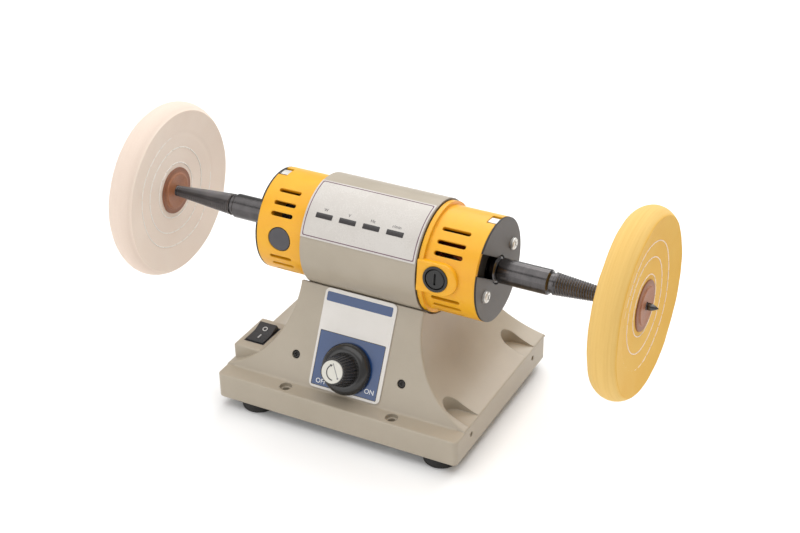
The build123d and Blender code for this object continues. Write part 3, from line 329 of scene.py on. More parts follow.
yellowGlow = {
    "Subsurface Weight": 0.06, "Subsurface Radius": (0.002, 0.001, 0.0004), "Subsurface Scale": 1.0,
}
filmGloss = {"Specular IOR Level": 0.75}
coarseGrain = {"depth": 0.1 * mm, "strength": 0.5, "speckle": 0.5}
plainLooks = {
    "casting_paint": coated(
        (165, 154, 136), (173, 162, 145), (192, 183, 168), (0.36, 0.48), 0.7, 0.22, patch=34, grain=950,
        depth=0.1 * mm, strength=0.35, speckle=0.3, shader={"Coat Weight": 0.15, "Coat Roughness": 0.22},
    ),
    "cap_yellow": coated(
        (232, 163, 10), (238, 175, 24), (245, 199, 88), (0.3, 0.42), 0.7, 0.25, shader=yellowGlow,
    ),
    "plate_grey": coated(
        (86, 83, 82), (96, 93, 91), (140, 138, 136), (0.45, 0.6), 0.7, 0.25, patch=50, **coarseGrain,
        # darker on the plate's round rim
        cutTone=tone(34, 32, 31), cutShares=(1.0, 0.0),
    ),
    "panel_film": coated(
        (210, 205, 198), (216, 211, 205), (230, 227, 222), (0.12, 0.2), shader=filmGloss,
    ),
    "label_film": coated((197, 191, 184), (203, 198, 192), (216, 212, 207), (0.22, 0.32), 0.2),
    "knob_black": coated(
        (40, 39, 39), (46, 45, 44), (104, 101, 99), (0.16, 0.24), 0.35, 0.5, strength=0.06,
    ),
    "knob_white": coated((203, 200, 189), (211, 208, 198), (230, 228, 221), (0.25, 0.35)),
    "switch_black": coated((34, 32, 33), (42, 40, 41), (92, 90, 90), (0.26, 0.38)),
    "brush_black": coated((26, 25, 24), (34, 33, 32), (88, 84, 82), (0.28, 0.42), 0.4, 0.35),
    "plug_grey": coated((66, 64, 68), (74, 72, 76), (112, 110, 114), (0.35, 0.5), 0.4, 0.35),
    "gland_nylon": coated((36, 36, 37), (45, 45, 46), (82, 82, 83), (0.4, 0.55)),
    "fan_black": coated((30, 30, 31), (40, 40, 41), (74, 74, 75), (0.4, 0.55)),
    "foot_rubber": coated(
        (30, 28, 27), (40, 38, 36), (80, 75, 70), (0.65, 0.85), 0.6, 0.35, patch=120, grain=1800,
        **coarseGrain,
    ),
    "carbon": coated(
        (38, 38, 40), (58, 57, 58), (88, 87, 88), (0.45, 0.65), 0.3, 0.4, patch=400, grain=2500,
        **coarseGrain,
    ),
    "board_green": coated(
        (20, 78, 52), (28, 92, 62), (150, 150, 96), (0.3, 0.45), 0.25, 0.5, patch=140, grain=700,
    ),
    "capacitor_film": coated((196, 160, 40), (208, 174, 58), (226, 204, 120), (0.3, 0.42)),
    "cover_steel": bareMetal(
        (150, 150, 148), (164, 163, 160), (200, 199, 196), (0.35, 0.5), stretch=(0.05, 1, 1),
    ),
    "screw_black": bareMetal((34, 32, 31), (48, 45, 43), (126, 122, 118), (0.3, 0.42), wear=0.6, metal=0.6),
    "screw_steel": bareMetal((214, 212, 207), (228, 226, 221), (240, 239, 236), (0.36, 0.5), metal=0.8),
    "contact_brass": bareMetal((190, 158, 84), (206, 176, 104), (230, 208, 150), (0.22, 0.38)),
    "bracket_alloy": bareMetal(
        (66, 65, 65), (84, 82, 81), (128, 126, 124), (0.45, 0.62), 0.4, 0.5, 0.8, patch=160, **coarseGrain,
    ),
    "sink_alloy": bareMetal(
        (172, 173, 175), (188, 189, 191), (222, 223, 225), (0.28, 0.42), stretch=(1, 0.08, 0.08),
    ),
    "spring_steel": bareMetal((156, 155, 152), (176, 175, 171), (214, 213, 209), (0.22, 0.36), 0.15),
    "lamination": bareMetal(
        (92, 90, 92), (124, 121, 120), (168, 165, 163), (0.35, 0.55), 0.2, 0.4, 0.9, **coarseGrain,
        stretch=(2.2, 0.02, 0.02),
    ),
    "copper": bareMetal(
        (150, 76, 38), (186, 104, 58), (216, 146, 100), (0.25, 0.42), 0.3, 0.4, 0.9, **coarseGrain,
        stretch=(0.05, 1, 1),
    ),
}
# painted shade: the tube's end faces darker, for the shade in the gap at the flange
plainLooks["housing_paint"] = {
    **plainLooks["casting_paint"], "cutTone": tone(100, 90, 76), "cutShares": (0.0, 1.0),
}
inkTones = {
    "ink_blue": (28, 60, 108), "ink_white": (226, 226, 226), "ink_silver": (186, 184, 182),
    "ink_black": (44, 40, 40), "ink_red": (92, 52, 74), "ink_grey": (112, 110, 112),
}
paler = 6  # how far the second tone of an ink or a thread lies above its first
for ink, shade in inkTones.items():
    light = [value + paler for value in shade]
    plainLooks[ink] = coated(shade, light, shade, (0.12, 0.2), 0.02, shader=filmGloss)

threadGrain = {"patch": 900, "grain": 3200, "strength": 0.5}
threadSheen = {"Sheen Weight": 0.3, "Sheen Roughness": 0.5}
for thread, shade in {"stitch_white": (247, 240, 232), "stitch_yellow": (249, 228, 204)}.items():
    light = [value + paler for value in shade]
    plainLooks[thread] = coated(shade, light, light, (0.7, 0.9), 0.1, shader=threadSheen, **threadGrain)

turnedLooks = {
    "spindle_black": {
        "tones": (tone(78, 76, 76), tone(94, 91, 91)), "wornTone": tone(150, 146, 144), "rings": 2600,
        "patch": 160, "rough": (0.16, 0.26), "depth": 0.03 * mm, "edge": 0.25 * mm, "wear": 0.5,
        "shader": {"Metallic": 1.0},
    },
    "shaft_steel": {
        "tones": (tone(160, 158, 155), tone(182, 180, 176)), "wornTone": tone(222, 220, 216), "rings": 2200,
        "patch": 120, "rough": (0.2, 0.34), "depth": 0.04 * mm, "edge": 0.25 * mm, "wear": 0.4,
        "shader": {"Metallic": 1.0},
    },
    "bearing_steel": {
        "tones": (tone(186, 186, 186), tone(204, 204, 204)), "wornTone": tone(232, 232, 232), "rings": 3000,
        "patch": 160, "rough": (0.12, 0.22), "depth": 0.02 * mm, "edge": 0.2 * mm, "wear": 0.4,
        "shader": {"Metallic": 1.0},
    },
}


def cotton(dark, light, rim, hollow, fibre, sheen):
    # Settings of a wheel's cloth
    soft = {"Sheen Weight": 0.3, "Sheen Roughness": 0.6, "Specular IOR Level": 0.2}
    scales = {"weave": 420, "layers": 900, "fibre": 1300, "patch": 45}
    threads = {"threadDepth": 0.08 * mm, "threadShade": 0.25}
    sides = {"tones": (tone(*dark), tone(*light)), "hollowShadeTone": tone(*hollow), "fibreTone": tone(*fibre)}
    shader = {**soft, "Sheen Tint": tone(*sheen)}
    return {**sides, **scales, **threads, "rimTone": tone(*rim), "shader": shader}


clothLooks = {
    "wheel_white": cotton(
        (242, 223, 207), (244, 228, 213), (230, 211, 196), (220, 200, 184), (247, 236, 225),
        (255, 242, 230),
    ),
    "wheel_yellow": cotton(
        (229, 174, 70), (231, 182, 84), (230, 191, 114), (200, 150, 58), (234, 202, 130),
        (255, 232, 176),
    ),
}
leatherLooks = {
    "hub_leather": {
        "tones": (tone(162, 100, 66), tone(178, 118, 82)), "creaseShadeTone": tone(102, 58, 38), "cell": 900,
        "patch": 160, "rimShade": 0.45, "creaseShade": 0.25, "wornTone": tone(222, 184, 164),
        "edge": 0.5 * mm, "wear": 0.4, "rough": (0.42, 0.56), "depth": 0.08 * mm,
    },
}
makers = [
    (plainFinish, plainLooks), (turnedFinish, turnedLooks), (clothFinish, clothLooks),
    (leatherFinish, leatherLooks),
]
finishes = {slot: make(slot, look) for make, looks in makers for slot, look in looks.items()}

shadedEndTubes = {"motor_housing": "housing_paint"}  # painted shade on the tube's end faces, for the dark gap at the flange
for part in frame["record"]["subparts"]:
    for materialSlot in nodes[part["node"]].material_slots:
        materialSlot.material = finishes[shadedEndTubes.get(part["node"], part["material_slot"])]
print("finishes made:", len(finishes))


# Spindles with a bore at the motor's end and a tapered screw for the wheel
spindle = {
    "zero": 3.2, "bore": 4.0, "boreEnd": 20.5, "boreCone": 22.5, "nose": 5.4, "noseChamfer": 0.4,
    "collarStart": -0.8, "collarEnd": 2.6, "collar": 7.4, "chamfer": 0.7, "grooveEnd": 3.3, "groove": 6.1,
    "sleeve": 6.9, "sleeveEnd": 32.1, "sleeveChamfer": 0.8, "neck": 5.4, "neckRound": 0.25, "neckEnd": 34.5,
    "taper": (6.15, 1.95), "taperEnd": 85.9, "pitch": 1.4, "depth": 0.38, "crest": 0.3, "runOut": 2.0,
    "tipEnd": 90.5, "tipBend": 1.6, "rowsPerTurn": 10, "columns": 72,
}


def taperRadius(station):
    # Radius of the screw's crest, in millimetres, which falls evenly along the taper
    share = (station - spindle["neckEnd"]) / (spindle["taperEnd"] - spindle["neckEnd"])
    return spindle["taper"][0] + (spindle["taper"][1] - spindle["taper"][0]) * share


def spindleRows():
    # Stations and radii from the bore's bottom, out over the collar and along the screw to the rounded tip
    s = spindle
    start, nose, ease = -s["zero"], s["nose"], s["noseChamfer"]
    low, high, foot, end = s["collarStart"], s["collarEnd"], s["grooveEnd"], s["sleeveEnd"]
    edge, cut, bend = s["chamfer"], s["sleeveChamfer"], s["neckRound"]
    bore, collar, sleeve, neck = s["bore"], s["collar"], s["sleeve"], s["neck"]
    before = np.array([
        (s["boreEnd"], bore), (start + ease, bore), (start, bore + ease), (start, nose - ease),
        (start + ease, nose), (low, nose), (low, collar - edge), (low + edge, collar),
        (high - edge, collar), (high, collar - edge), (high, s["groove"]), (foot, s["groove"]),
        (foot, sleeve - edge), (foot + edge, sleeve), (end - cut, sleeve), (end, sleeve - cut),
        (end, neck + bend), (end + bend, neck), (s["neckEnd"] - bend, neck),
    ])
    turns = (s["taperEnd"] - s["neckEnd"]) / s["pitch"]
    screw = np.linspace(s["neckEnd"], s["taperEnd"], int(turns * s["rowsPerTurn"]) + 1)
    share = np.linspace(0, 1, 9)[1:-1]
    tip = s["taperEnd"] + (s["tipEnd"] - s["taperEnd"]) * share
    ogive = s["taper"][1] * (1 - share ** s["tipBend"])
    stations = np.concatenate([before[:, 0], screw, tip])
    radii = np.concatenate([before[:, 1], taperRadius(screw), ogive])
    return stations, radii


def makeSpindle(name, node, side):
    # Radius = crest less the thread's depth times a flat-topped wave of station over pitch less the angle
    s = spindle
    low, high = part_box(node)
    zero = (low.x if side > 0 else -high.x) / mm + s["zero"]
    stations, radii = spindleRows()
    angles = np.linspace(0, turn, s["columns"], endpoint=False)
    phase = stations[:, None] / s["pitch"] - angles[None, :] / turn
    wave = np.clip((1 + s["crest"]) * np.abs(2 * (phase % 1) - 1) - s["crest"], 0, 1)
    starting = between(s["neckEnd"], s["neckEnd"] + s["runOut"], stations)
    ending = 1 - between(s["taperEnd"] - s["runOut"], s["taperEnd"], stations)
    surface = (radii[:, None] - s["depth"] * wave * (starting * ending)[:, None]) * mm
    points = aboutAxle(side * (zero + stations[:, None]) * mm, surface, angles[None, :]).reshape(-1, 3)
    ends = np.array([s["boreCone"], s["tipEnd"]])
    poles = aboutAxle(side * (zero + ends) * mm, 0 * ends, 0 * ends)
    rows, columns = len(stations), s["columns"]
    quads, fans = gridFaces(rows, columns, False, True), poleFans(rows, columns)
    points = np.concatenate([points, poles])
    piece = newPiece(name, points, quads, fans, "spindle_black", "rotor")
    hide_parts(node)


for sideName, side in (("left", -1), ("right", 1)):
    makeSpindle(sideName + "TaperSpindle", sideName + "_spindle", side)
print("spindles made")


# Buffing wheels of stitched cotton cloth
wheel = {
    "bore": 3.3, "hubHalf": 4.42, "slopeStart": 20.0, "slopePower": 1.8, "edgeRadius": 47.3, "softening": 3,
    "layerPitch": 0.92, "layerDepth": 0.12, "layerPower": 0.6, "drifts": ((3, 0.35, 1), (8, 0.25, -2)),
    "frayDepth": 0.05, "lumps": ((5, 0.1, 1),), "rippleStart": 30.0, "rippleHeight": 0.09,
    "ripples": ((6, 1.0, 1), (11, 0.6, 3), (23, 0.35, -1)), "otherSide": 1.7, "rimShares": (0.15, 0.6),
    "faceRows": 80, "rimRows": 96, "columns": 360,
}
stitching = {
    "rings": (16.4, 25.5, 34.0), "wander": (0.2, 0.35, 0.7), "sink": 0.16, "sinkWidth": 1.0, "step": 6.2,
    "length": 5.9, "threadRadius": 0.32, "proud": 0.16, "dip": 0.12, "bury": 0.4, "buriedRing": 2,
    "buryShares": (0.2, 0.8),
}


def facePlane(radius, half):
    # Half thickness at a radius: the hub's, then rising to the rim's by a power of the way out
    share = np.clip((radius - wheel["slopeStart"]) / (wheel["edgeRadius"] - wheel["slopeStart"]), 0, 1)
    return wheel["hubHalf"] + (half - wheel["hubHalf"]) * share ** wheel["slopePower"]


def rimArc(flat, half, radius):
    # Radius of a circle through both edges of the rim and its crown, at a share of the half thickness
    rise = radius - wheel["edgeRadius"]
    bend = (half * half + rise * rise) / (2 * rise)
    return radius - bend + np.sqrt(bend * bend - (flat * half) ** 2)


def ringRadius(k, angles, seed):
    # A stitched ring's radius, its nominal one and a slow wander of two waves, in millimetres
    wander = 0.6 * np.sin(2 * angles + seed + k) + 0.4 * np.sin(5 * angles + 2 * seed)
    return stitching["rings"][k] + stitching["wander"][k] * wander


def clothSwell(radius, angles, seed):
    # Rise of a side over its plain form: sunk along the stitches, rippled towards the rim
    swell = np.zeros(np.broadcast(radius, angles).shape)
    for k in range(len(stitching["rings"])):
        off = (radius - ringRadius(k, angles, seed)) / stitching["sinkWidth"]
        swell -= stitching["sink"] * np.exp(-off * off)
    outwards = between(wheel["rippleStart"], wheel["edgeRadius"], radius)
    return swell + wheel["rippleHeight"] * outwards * waves(angles, seed, wheel["ripples"])


def softened(rows):
    # Each row of a closed loop moved towards its neighbours' mean, several times over, which rounds corners
    for _ in range(wheel["softening"]):
        rows = (np.roll(rows, 1, 0) + 2 * rows + np.roll(rows, -1, 0)) / 4
    return rows


def wheelSurface(half, radius, seed):
    # A closed loop of rows: one side outwards, over the layered rim, the other side back, through the bore
    w = wheel
    angles = np.linspace(0, turn, w["columns"], endpoint=False)[None, :]
    whole = np.ones_like(angles)
    faceRadii = np.linspace(w["bore"], w["edgeRadius"], w["faceRows"])[:, None]
    plane = facePlane(faceRadii, half)
    sideA = plane + clothSwell(faceRadii, angles, seed)
    sideB = plane + clothSwell(faceRadii, angles, seed + w["otherSide"])
    flat = np.cos(np.linspace(0, np.pi, w["rimRows"] + 2)[1:-1])[:, None]
    across = (1 + flat) / 2 * sideA[-1:] - (1 - flat) / 2 * sideB[-1:]
    crown = rimArc(flat, half, radius - w["layerDepth"])
    stations = softened(np.concatenate([sideA, across, -sideB[::-1]]))
    radii = softened(np.concatenate([faceRadii * whole, crown * whole, faceRadii[::-1] * whole]))
    onRim = np.concatenate([0 * sideA, np.sqrt(1 - flat * flat) * whole, 0 * sideB])
    drift = waves(angles, seed, w["drifts"])
    layers = np.abs(np.sin(np.pi * (stations + drift) / w["layerPitch"])) ** w["layerPower"] - 0.5
    frayed = 0.5 * np.sin(37 * angles + 9 * stations) + 0.5 * np.sin(61 * angles - 5 * stations + seed)
    lumps = waves(angles, seed, w["lumps"])
    radii = radii + onRim * (w["layerDepth"] * layers + w["frayDepth"] * frayed + lumps)
    return stations, radii, angles, between(*w["rimShares"], onRim)


def makeWheel(name, node, slotName, seed):
    low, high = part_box(node)
    half, radius = (high.x - low.x) / 2 / mm, (high.z - low.z) / 2 / mm
    middle = (high.x + low.x) / 2
    stations, radii, angles, rimShare = wheelSurface(half, radius, seed)
    points = aboutAxle(middle + stations * mm, radii * mm, angles).reshape(-1, 3)
    quads = gridFaces(len(stations), wheel["columns"], True, True)
    piece = newPiece(name, points, quads, noFans, slotName, "rotor", sharp=60)
    share = piece.data.attributes.new("rimShare", "FLOAT", "POINT")
    share.data.foreach_set("value", rimShare.astype(np.float32).ravel())
    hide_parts(node)
    return middle, half


def makeStitches(name, middle, half, finish, seed):
    # Each stitch is a capsule laid along its ring: the same small grid, carried to every place at once
    t = stitching
    along = np.array([-1.0, -0.95, -0.5, 0.0, 0.5, 0.95, 1.0])[:, None]
    girth = np.array([0.35, 1.0, 1.0, 1.0, 1.0, 1.0, 0.35])[:, None] * t["threadRadius"]
    sweep = np.linspace(0, turn, 6, endpoint=False)[None, :]
    rows, columns = len(along), sweep.size
    shells = []
    for face, faceSeed in ((1, seed), (-1, seed + wheel["otherSide"])):
        for k, nominal in enumerate(t["rings"]):
            count = round(turn * nominal / t["step"])
            centre = (np.arange(count) * turn / count)[:, None, None]
            angles = centre + along * t["length"] / 2 / nominal
            ring = ringRadius(k, angles, faceSeed)
            lift = facePlane(ring, half) + clothSwell(ring, angles, faceSeed)
            lift += t["proud"] - t["dip"] * along ** 4
            if k == t["buriedRing"]:
                lift -= t["bury"] * between(*t["buryShares"], np.sin(centre + 2 * faceSeed))
            radii = ring + girth * np.cos(sweep)
            heights = face * (lift + girth * np.sin(sweep))
            body = aboutAxle(middle + heights * mm, radii * mm, angles)
            ends = body[:, [0, -1]].mean(2)
            shells.append(np.concatenate([body.reshape(count, rows * columns, 3), ends], 1))
    shells = np.concatenate(shells)
    firsts = (np.arange(len(shells)) * shells.shape[1])[:, None, None]
    quads = (gridFaces(rows, columns, False, True)[None] + firsts).reshape(-1, 4)
    fans = (poleFans(rows, columns)[None] + firsts).reshape(-1, 3)
    newPiece(name, shells.reshape(-1, 3), quads, fans, finish, "rotor", sharp=70)


hubDisc = {
    "radius": 13.6, "thickness": 0.9, "bossRadius": 10.4, "bossThickness": 0.8, "edge": 0.35,
    "bossEdge": 0.7, "ringWidth": 2.2, "ringFall": 1.0, "dish": 0.3, "bevel": 0.15, "edgeWidth": 1.5,
    "footWidth": 0.3, "footRise": 0.1, "ease": 0.05, "boreGap": 0.12, "lift": 4.4, "shadeWidth": 2.0,
    "outlineWaves": ((3, 0.006, 1), (7, 0.004, 0)), "faceWaves": ((2, 0.04, 1),), "columns": 128,
}


def roundedCorner(station, radius, edge, steps=6):
    # A quarter circle over an outer corner, from the side at its foot to the top
    sweep = np.linspace(0, np.pi / 2, steps)
    return np.stack([station - edge + edge * np.sin(sweep), radius - edge + edge * np.cos(sweep)], 1)


def hubProfile(bore):
    # Rows from the bore at the cloth, out under the disc, round its edge, over the boss and into its dish
    d = hubDisc
    top, crest = d["thickness"], d["thickness"] + d["bossThickness"]
    foot, ring = d["bossRadius"] + d["footWidth"], d["bossRadius"] - d["ringWidth"]
    bevel, ease = d["bevel"], d["ease"]
    return np.concatenate([
        [(0, bore), (0, d["radius"] - bevel), (bevel, d["radius"])],
        roundedCorner(top, d["radius"], d["edge"]),
        [(top, d["radius"] - d["edgeWidth"]), (top, foot), (top + d["footRise"], d["bossRadius"] + ease)],
        roundedCorner(crest, d["bossRadius"], d["bossEdge"]),
        [(crest - ease, ring + d["ringFall"]), (crest - d["dish"], ring), (crest - d["dish"], bore)],
    ])


def makeHubDiscs(name, node, middle, side):
    # Both leather discs of a wheel, each a turned profile whose outline and face waver a little
    d = hubDisc
    angles = np.linspace(0, turn, d["columns"], endpoint=False)[None, :]
    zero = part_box("right_spindle")[0].x / mm + spindle["zero"]
    shells, faces, shares = [], [], []
    for face in (1, -1):
        station = abs(middle) / mm - zero + face * side * (d["lift"] + d["thickness"])
        profile = hubProfile(taperRadius(station) + d["boreGap"])
        stations, radii = profile[:, :1], profile[:, 1:]
        waver = 1 + waves(angles, face, d["outlineWaves"])
        outline = np.where(radii > d["bossRadius"] / 2, radii * waver, radii)
        height = d["lift"] + stations * (1 + waves(angles, face, d["faceWaves"]))
        points = aboutAxle(middle + face * height * mm, outline * mm, angles).reshape(-1, 3)
        quads = gridFaces(len(profile), d["columns"], True, True)
        faces.append((quads if face > 0 else quads[:, ::-1]) + len(shells) * len(points))
        shells.append(points)
        onBoss = between(d["radius"] - d["shadeWidth"], d["bossRadius"], radii)
        shares.append((onBoss + 0 * angles).ravel())
    points, quads = np.concatenate(shells), np.concatenate(faces)
    piece = newPiece(name, points, quads, noFans, "hub_leather", "rotor", sharp=50)
    share = piece.data.attributes.new("bossShare", "FLOAT", "POINT")
    share.data.foreach_set("value", np.concatenate(shares).astype(np.float32))
    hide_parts(node)


wheelPlaces = [
    ("left", "wheel_white", "stitch_white", 0.4, -1), ("right", "wheel_yellow", "stitch_yellow", 2.1, 1),
]
for sideName, slotName, thread, seed, side in wheelPlaces:
    middle, half = makeWheel(sideName + "ClothWheel", sideName + "_buffing_wheel", slotName, seed)
    makeStitches(sideName + "WheelStitches", middle, half, thread, seed)
    makeHubDiscs(sideName + "HubDiscs", sideName + "_wheel_hub_discs", middle, side)
print("wheels made")


# Printed films, each a thin closed slab laid on the surface that carries it
def roundedOutline(width, height, corner, samples, centre=(0, 0)):
    # Corner arcs pushed out to a rectangle's corners, then spaced evenly along the outline
    steps = 720
    sweep = np.linspace(0, turn, steps + 1)
    x = (width / 2 - corner) * np.sign(np.round(np.cos(sweep), 9)) + corner * np.cos(sweep)
    y = (height / 2 - corner) * np.sign(np.round(np.sin(sweep), 9)) + corner * np.sin(sweep)
    run = np.concatenate([[0], np.cumsum(np.hypot(np.diff(x), np.diff(y)))])
    even = np.linspace(0, run[-1], samples, endpoint=False)
    return np.stack([np.interp(even, run, x) + centre[0], np.interp(even, run, y) + centre[1]], 1)


def film(name, outer, inner, heights, place, body, ink):
    # Rows run from the inner outline, or the middle, out along the underside and back over the top
    solid = inner is None
    core = np.broadcast_to(outer.mean(0), outer.shape) if solid else inner
    nearest, steps = 0.1, 8  # where rows start beside a middle, and how many there are on each face
    shares = np.linspace(nearest if solid else 0, 1, steps)[:, None, None]
    flat = core + (outer - core) * shares
    loop = np.concatenate([flat, flat[::-1]])
    level = np.repeat(heights, len(flat))[:, None] + 0 * loop[..., 0]
    points = place(loop[..., 0], loop[..., 1], level).reshape(-1, 3)
    rows, columns = loop.shape[:2]
    fans = noFans
    if solid:
        middle = outer.mean(0)
        ends = place(np.repeat(middle[0], 2), np.repeat(middle[1], 2), np.array(heights))
        points = np.concatenate([points, ends])
        fans = poleFans(rows, columns)
    newPiece(name, points, gridFaces(rows, columns, not solid, True), fans, ink, body)


def ribbon(name, edges, heights, place, body, ink):
    # A strip between two edges of equally many points, closed all round as a thin tube of four sides
    first, second = edges
    low, high = heights
    loop = np.stack([first, second, second, first])
    level = np.array([low, low, high, high])[:, None] + 0 * loop[..., 0]
    tube = place(loop[..., 0], loop[..., 1], level).transpose(1, 0, 2)
    count = len(tube)
    points = np.concatenate([tube.reshape(-1, 3), tube[[0, -1]].mean(1)])
    newPiece(name, points, gridFaces(count, 4, False, True), poleFans(count, 4), ink, body)


def words(name, text, height, place, centre, heights, body, ink):
    # A line of the built-in type, made a mesh and then laid on the surface
    curve = bpy.data.curves.new(name, "FONT")
    curve.body, curve.align_x, curve.align_y = text, "CENTER", "CENTER"
    curve.extrude = 0.5
    curve.resolution_u = 4
    holder = bpy.data.objects.new(name + "Curve", curve)
    bpy.context.scene.collection.objects.link(holder)
    bpy.context.view_layer.update()
    mesh = bpy.data.meshes.new_from_object(holder)
    bpy.data.objects.remove(holder)
    flat = np.zeros(len(mesh.vertices) * 3)
    mesh.vertices.foreach_get("co", flat)
    flat = flat.reshape(-1, 3)
    capHeight = 0.69  # of the built-in type's size
    size = height / capHeight
    level = np.where(flat[:, 2] > 0, heights[1], heights[0])
    placed = place(centre[0] + flat[:, 0] * size, centre[1] + flat[:, 1] * size, level)
    mesh.vertices.foreach_set("co", placed.astype(np.float32).ravel())
    mesh.update()
    show(name, mesh, ink, body)


filmSink, filmRise = 0.1, 0.05  # millimetres that a film reaches into its carrier and stands out of it
knobJoint = joints["knob_turn"]
panelOut = np.array(knobJoint["axis"])
panelUp = np.cross(panelOut, (1.0, 0.0, 0.0))
knobSeat = np.array(knobJoint["pos_m"])


def onPanel(u, v, w):
    # A point across, up and out from the knob's seat on the sloping front, given in millimetres
    across = np.array([1.0, 0.0, 0.0])
    return knobSeat + mm * (u[..., None] * across + v[..., None] * panelUp + w[..., None] * panelOut)


panelPrint = {
    "width": 40.1, "topBorder": 2.1, "lowBorder": 1.4, "bandHeight": 5.2, "bandGap": 16.1,
    "bandCorner": 0.6, "fieldCorner": 0.3, "outline": 0.35, "lettering": 2.6,
    "words": {"OFF": (-14.1, -10.5), "ON": (15.3, -9.0)},
}


def makePanelPrint():
    p = panelPrint
    spots = meshPoints("control_panel") - knobSeat
    up, face = spots @ panelUp / mm, (spots @ panelOut).max() / mm
    width = p["width"]
    heights = (face - filmSink, face + filmRise)
    raised = (face, face + 2 * filmRise)
    bandTop, fieldBottom = up.max() - p["topBorder"], up.min() + p["lowBorder"]
    bandBottom = bandTop - p["bandHeight"]
    fieldTop = bandBottom - p["bandGap"]
    band = roundedOutline(width, p["bandHeight"], p["bandCorner"], 120, (0, (bandTop + bandBottom) / 2))
    film("panelBand", band, None, heights, onPanel, "frame", "ink_blue")
    place, size = (0, (fieldTop + fieldBottom) / 2), (width, fieldTop - fieldBottom)
    field = roundedOutline(*size, p["fieldCorner"], 200, place)
    film("panelField", field, None, heights, onPanel, "frame", "ink_blue")
    inner = [side - 2 * p["outline"] for side in size]
    inside = roundedOutline(*inner, p["fieldCorner"], 200, place)
    film("panelFieldLine", field, inside, raised, onPanel, "frame", "ink_black")
    for word, place in p["words"].items():
        name = "panel" + word.title()
        words(name, word, p["lettering"], onPanel, place, raised, "frame", "ink_white")


makePanelPrint()


capPrint = {
    "arcCentre": (1.07, -0.13), "arcRadius": 4.16, "arcStart": 128, "arcEnd": 270, "arcWidth": 0.65,
    "headLength": 20, "headWidth": 2.6, "pointWidth": 0.05, "headRows": 8, "arcRows": 40,
    "lineCentre": (1.87, 1.0), "lineLength": 8.5, "lineWidth": 0.4, "lineLean": 29, "dotRadius": 0.55,
}


def arrowEdges():
    # Both edges of a bent arrow: an arc whose width grows from the point to a head and then stays narrow
    p = capPrint
    point, neck = p["arcStart"] - p["headLength"], p["arcStart"]
    inHead, inArc = np.linspace(point, neck, p["headRows"]), np.linspace(neck, p["arcEnd"], p["arcRows"])
    degrees = np.concatenate([inHead, inArc])
    widening = np.linspace(p["pointWidth"], p["headWidth"], p["headRows"])
    shape = np.concatenate([widening, np.ones(p["arcRows"])])
    half = (shape * p["arcWidth"] / 2)[:, None]
    way = np.stack([np.cos(np.radians(degrees)), np.sin(np.radians(degrees))], 1)
    return [np.array(p["arcCentre"]) + (p["arcRadius"] + side * half) * way for side in (1, -1)]


def makeCapPrint():
    p = capPrint
    face = ((meshPoints("knob_cap") - knobSeat) @ panelOut).max() / mm
    heights = (face - filmSink, face + filmRise)
    ribbon("capArrow", arrowEdges(), heights, onPanel, "knob", "ink_black")
    lean = radians(p["lineLean"])
    up, aside = np.array([-sin(lean), cos(lean)]), np.array([cos(lean), sin(lean)]) * p["lineWidth"] / 2
    line = np.array(p["lineCentre"]) + up * np.linspace(-0.5, 0.5, 6)[:, None] * p["lineLength"]
    ribbon("capLine", (line - aside, line + aside), heights, onPanel, "knob", "ink_grey")
    dot = roundedOutline(2 * p["dotRadius"], 2 * p["dotRadius"], p["dotRadius"], 24, line[0])
    raised = (face - filmSink, face + 1.5 * filmRise)
    film("capDot", dot, None, raised, onPanel, "knob", "ink_grey")


makeCapPrint()

rockerPrint = {
    "crest": 2.13, "ringPlace": 3.6, "ringRadius": 1.5, "ringWidth": 0.5, "barPlace": -2.6,
    "barLength": 3.6, "barWidth": 0.8, "barCorner": 0.1,
}
pressJoint = joints["rocker_press"]
rockerPivot = np.array(pressJoint["pos_m"])
rockerTilt = radians(-pressJoint["range_deg"][0] / 2)


def onRocker(u, v, w):
    # A point on the rocker's shallow V top, turned about its pivot to the pressed position
    height = rockerPrint["crest"] + np.abs(v) * np.tan(rockerTilt) + w
    y = v * cos(rockerTilt) - height * sin(rockerTilt)
    z = v * sin(rockerTilt) + height * cos(rockerTilt)
    return rockerPivot + mm * np.stack([u, y, z], -1)


def makeRockerPrint():
    p = rockerPrint
    heights = (-filmSink, filmRise)
    place = (0, p["ringPlace"])
    outer, inner = (
        roundedOutline(2 * radius, 2 * radius, radius, 48, place)
        for radius in (p["ringRadius"], p["ringRadius"] - p["ringWidth"])
    )
    film("rockerRing", outer, inner, heights, onRocker, "rocker_key", "ink_silver")
    bar = roundedOutline(p["barWidth"], p["barLength"], p["barCorner"], 40, (0, p["barPlace"]))
    film("rockerBar", bar, None, heights, onRocker, "rocker_key", "ink_silver")


makeRockerPrint()

labelPrint = {
    "inset": 1.0, "lineWidth": 0.5, "lineCorner": 0.6, "fieldSize": (9.9, 2.9), "fieldCorner": 0.25,
    "fieldStart": 11.5, "fieldStep": 14.1, "fieldAngle": 42.2, "captionAngle": 48.6, "captionHeight": 1.7,
    "captions": ("W", "V", "Hz", "r/min"),
}


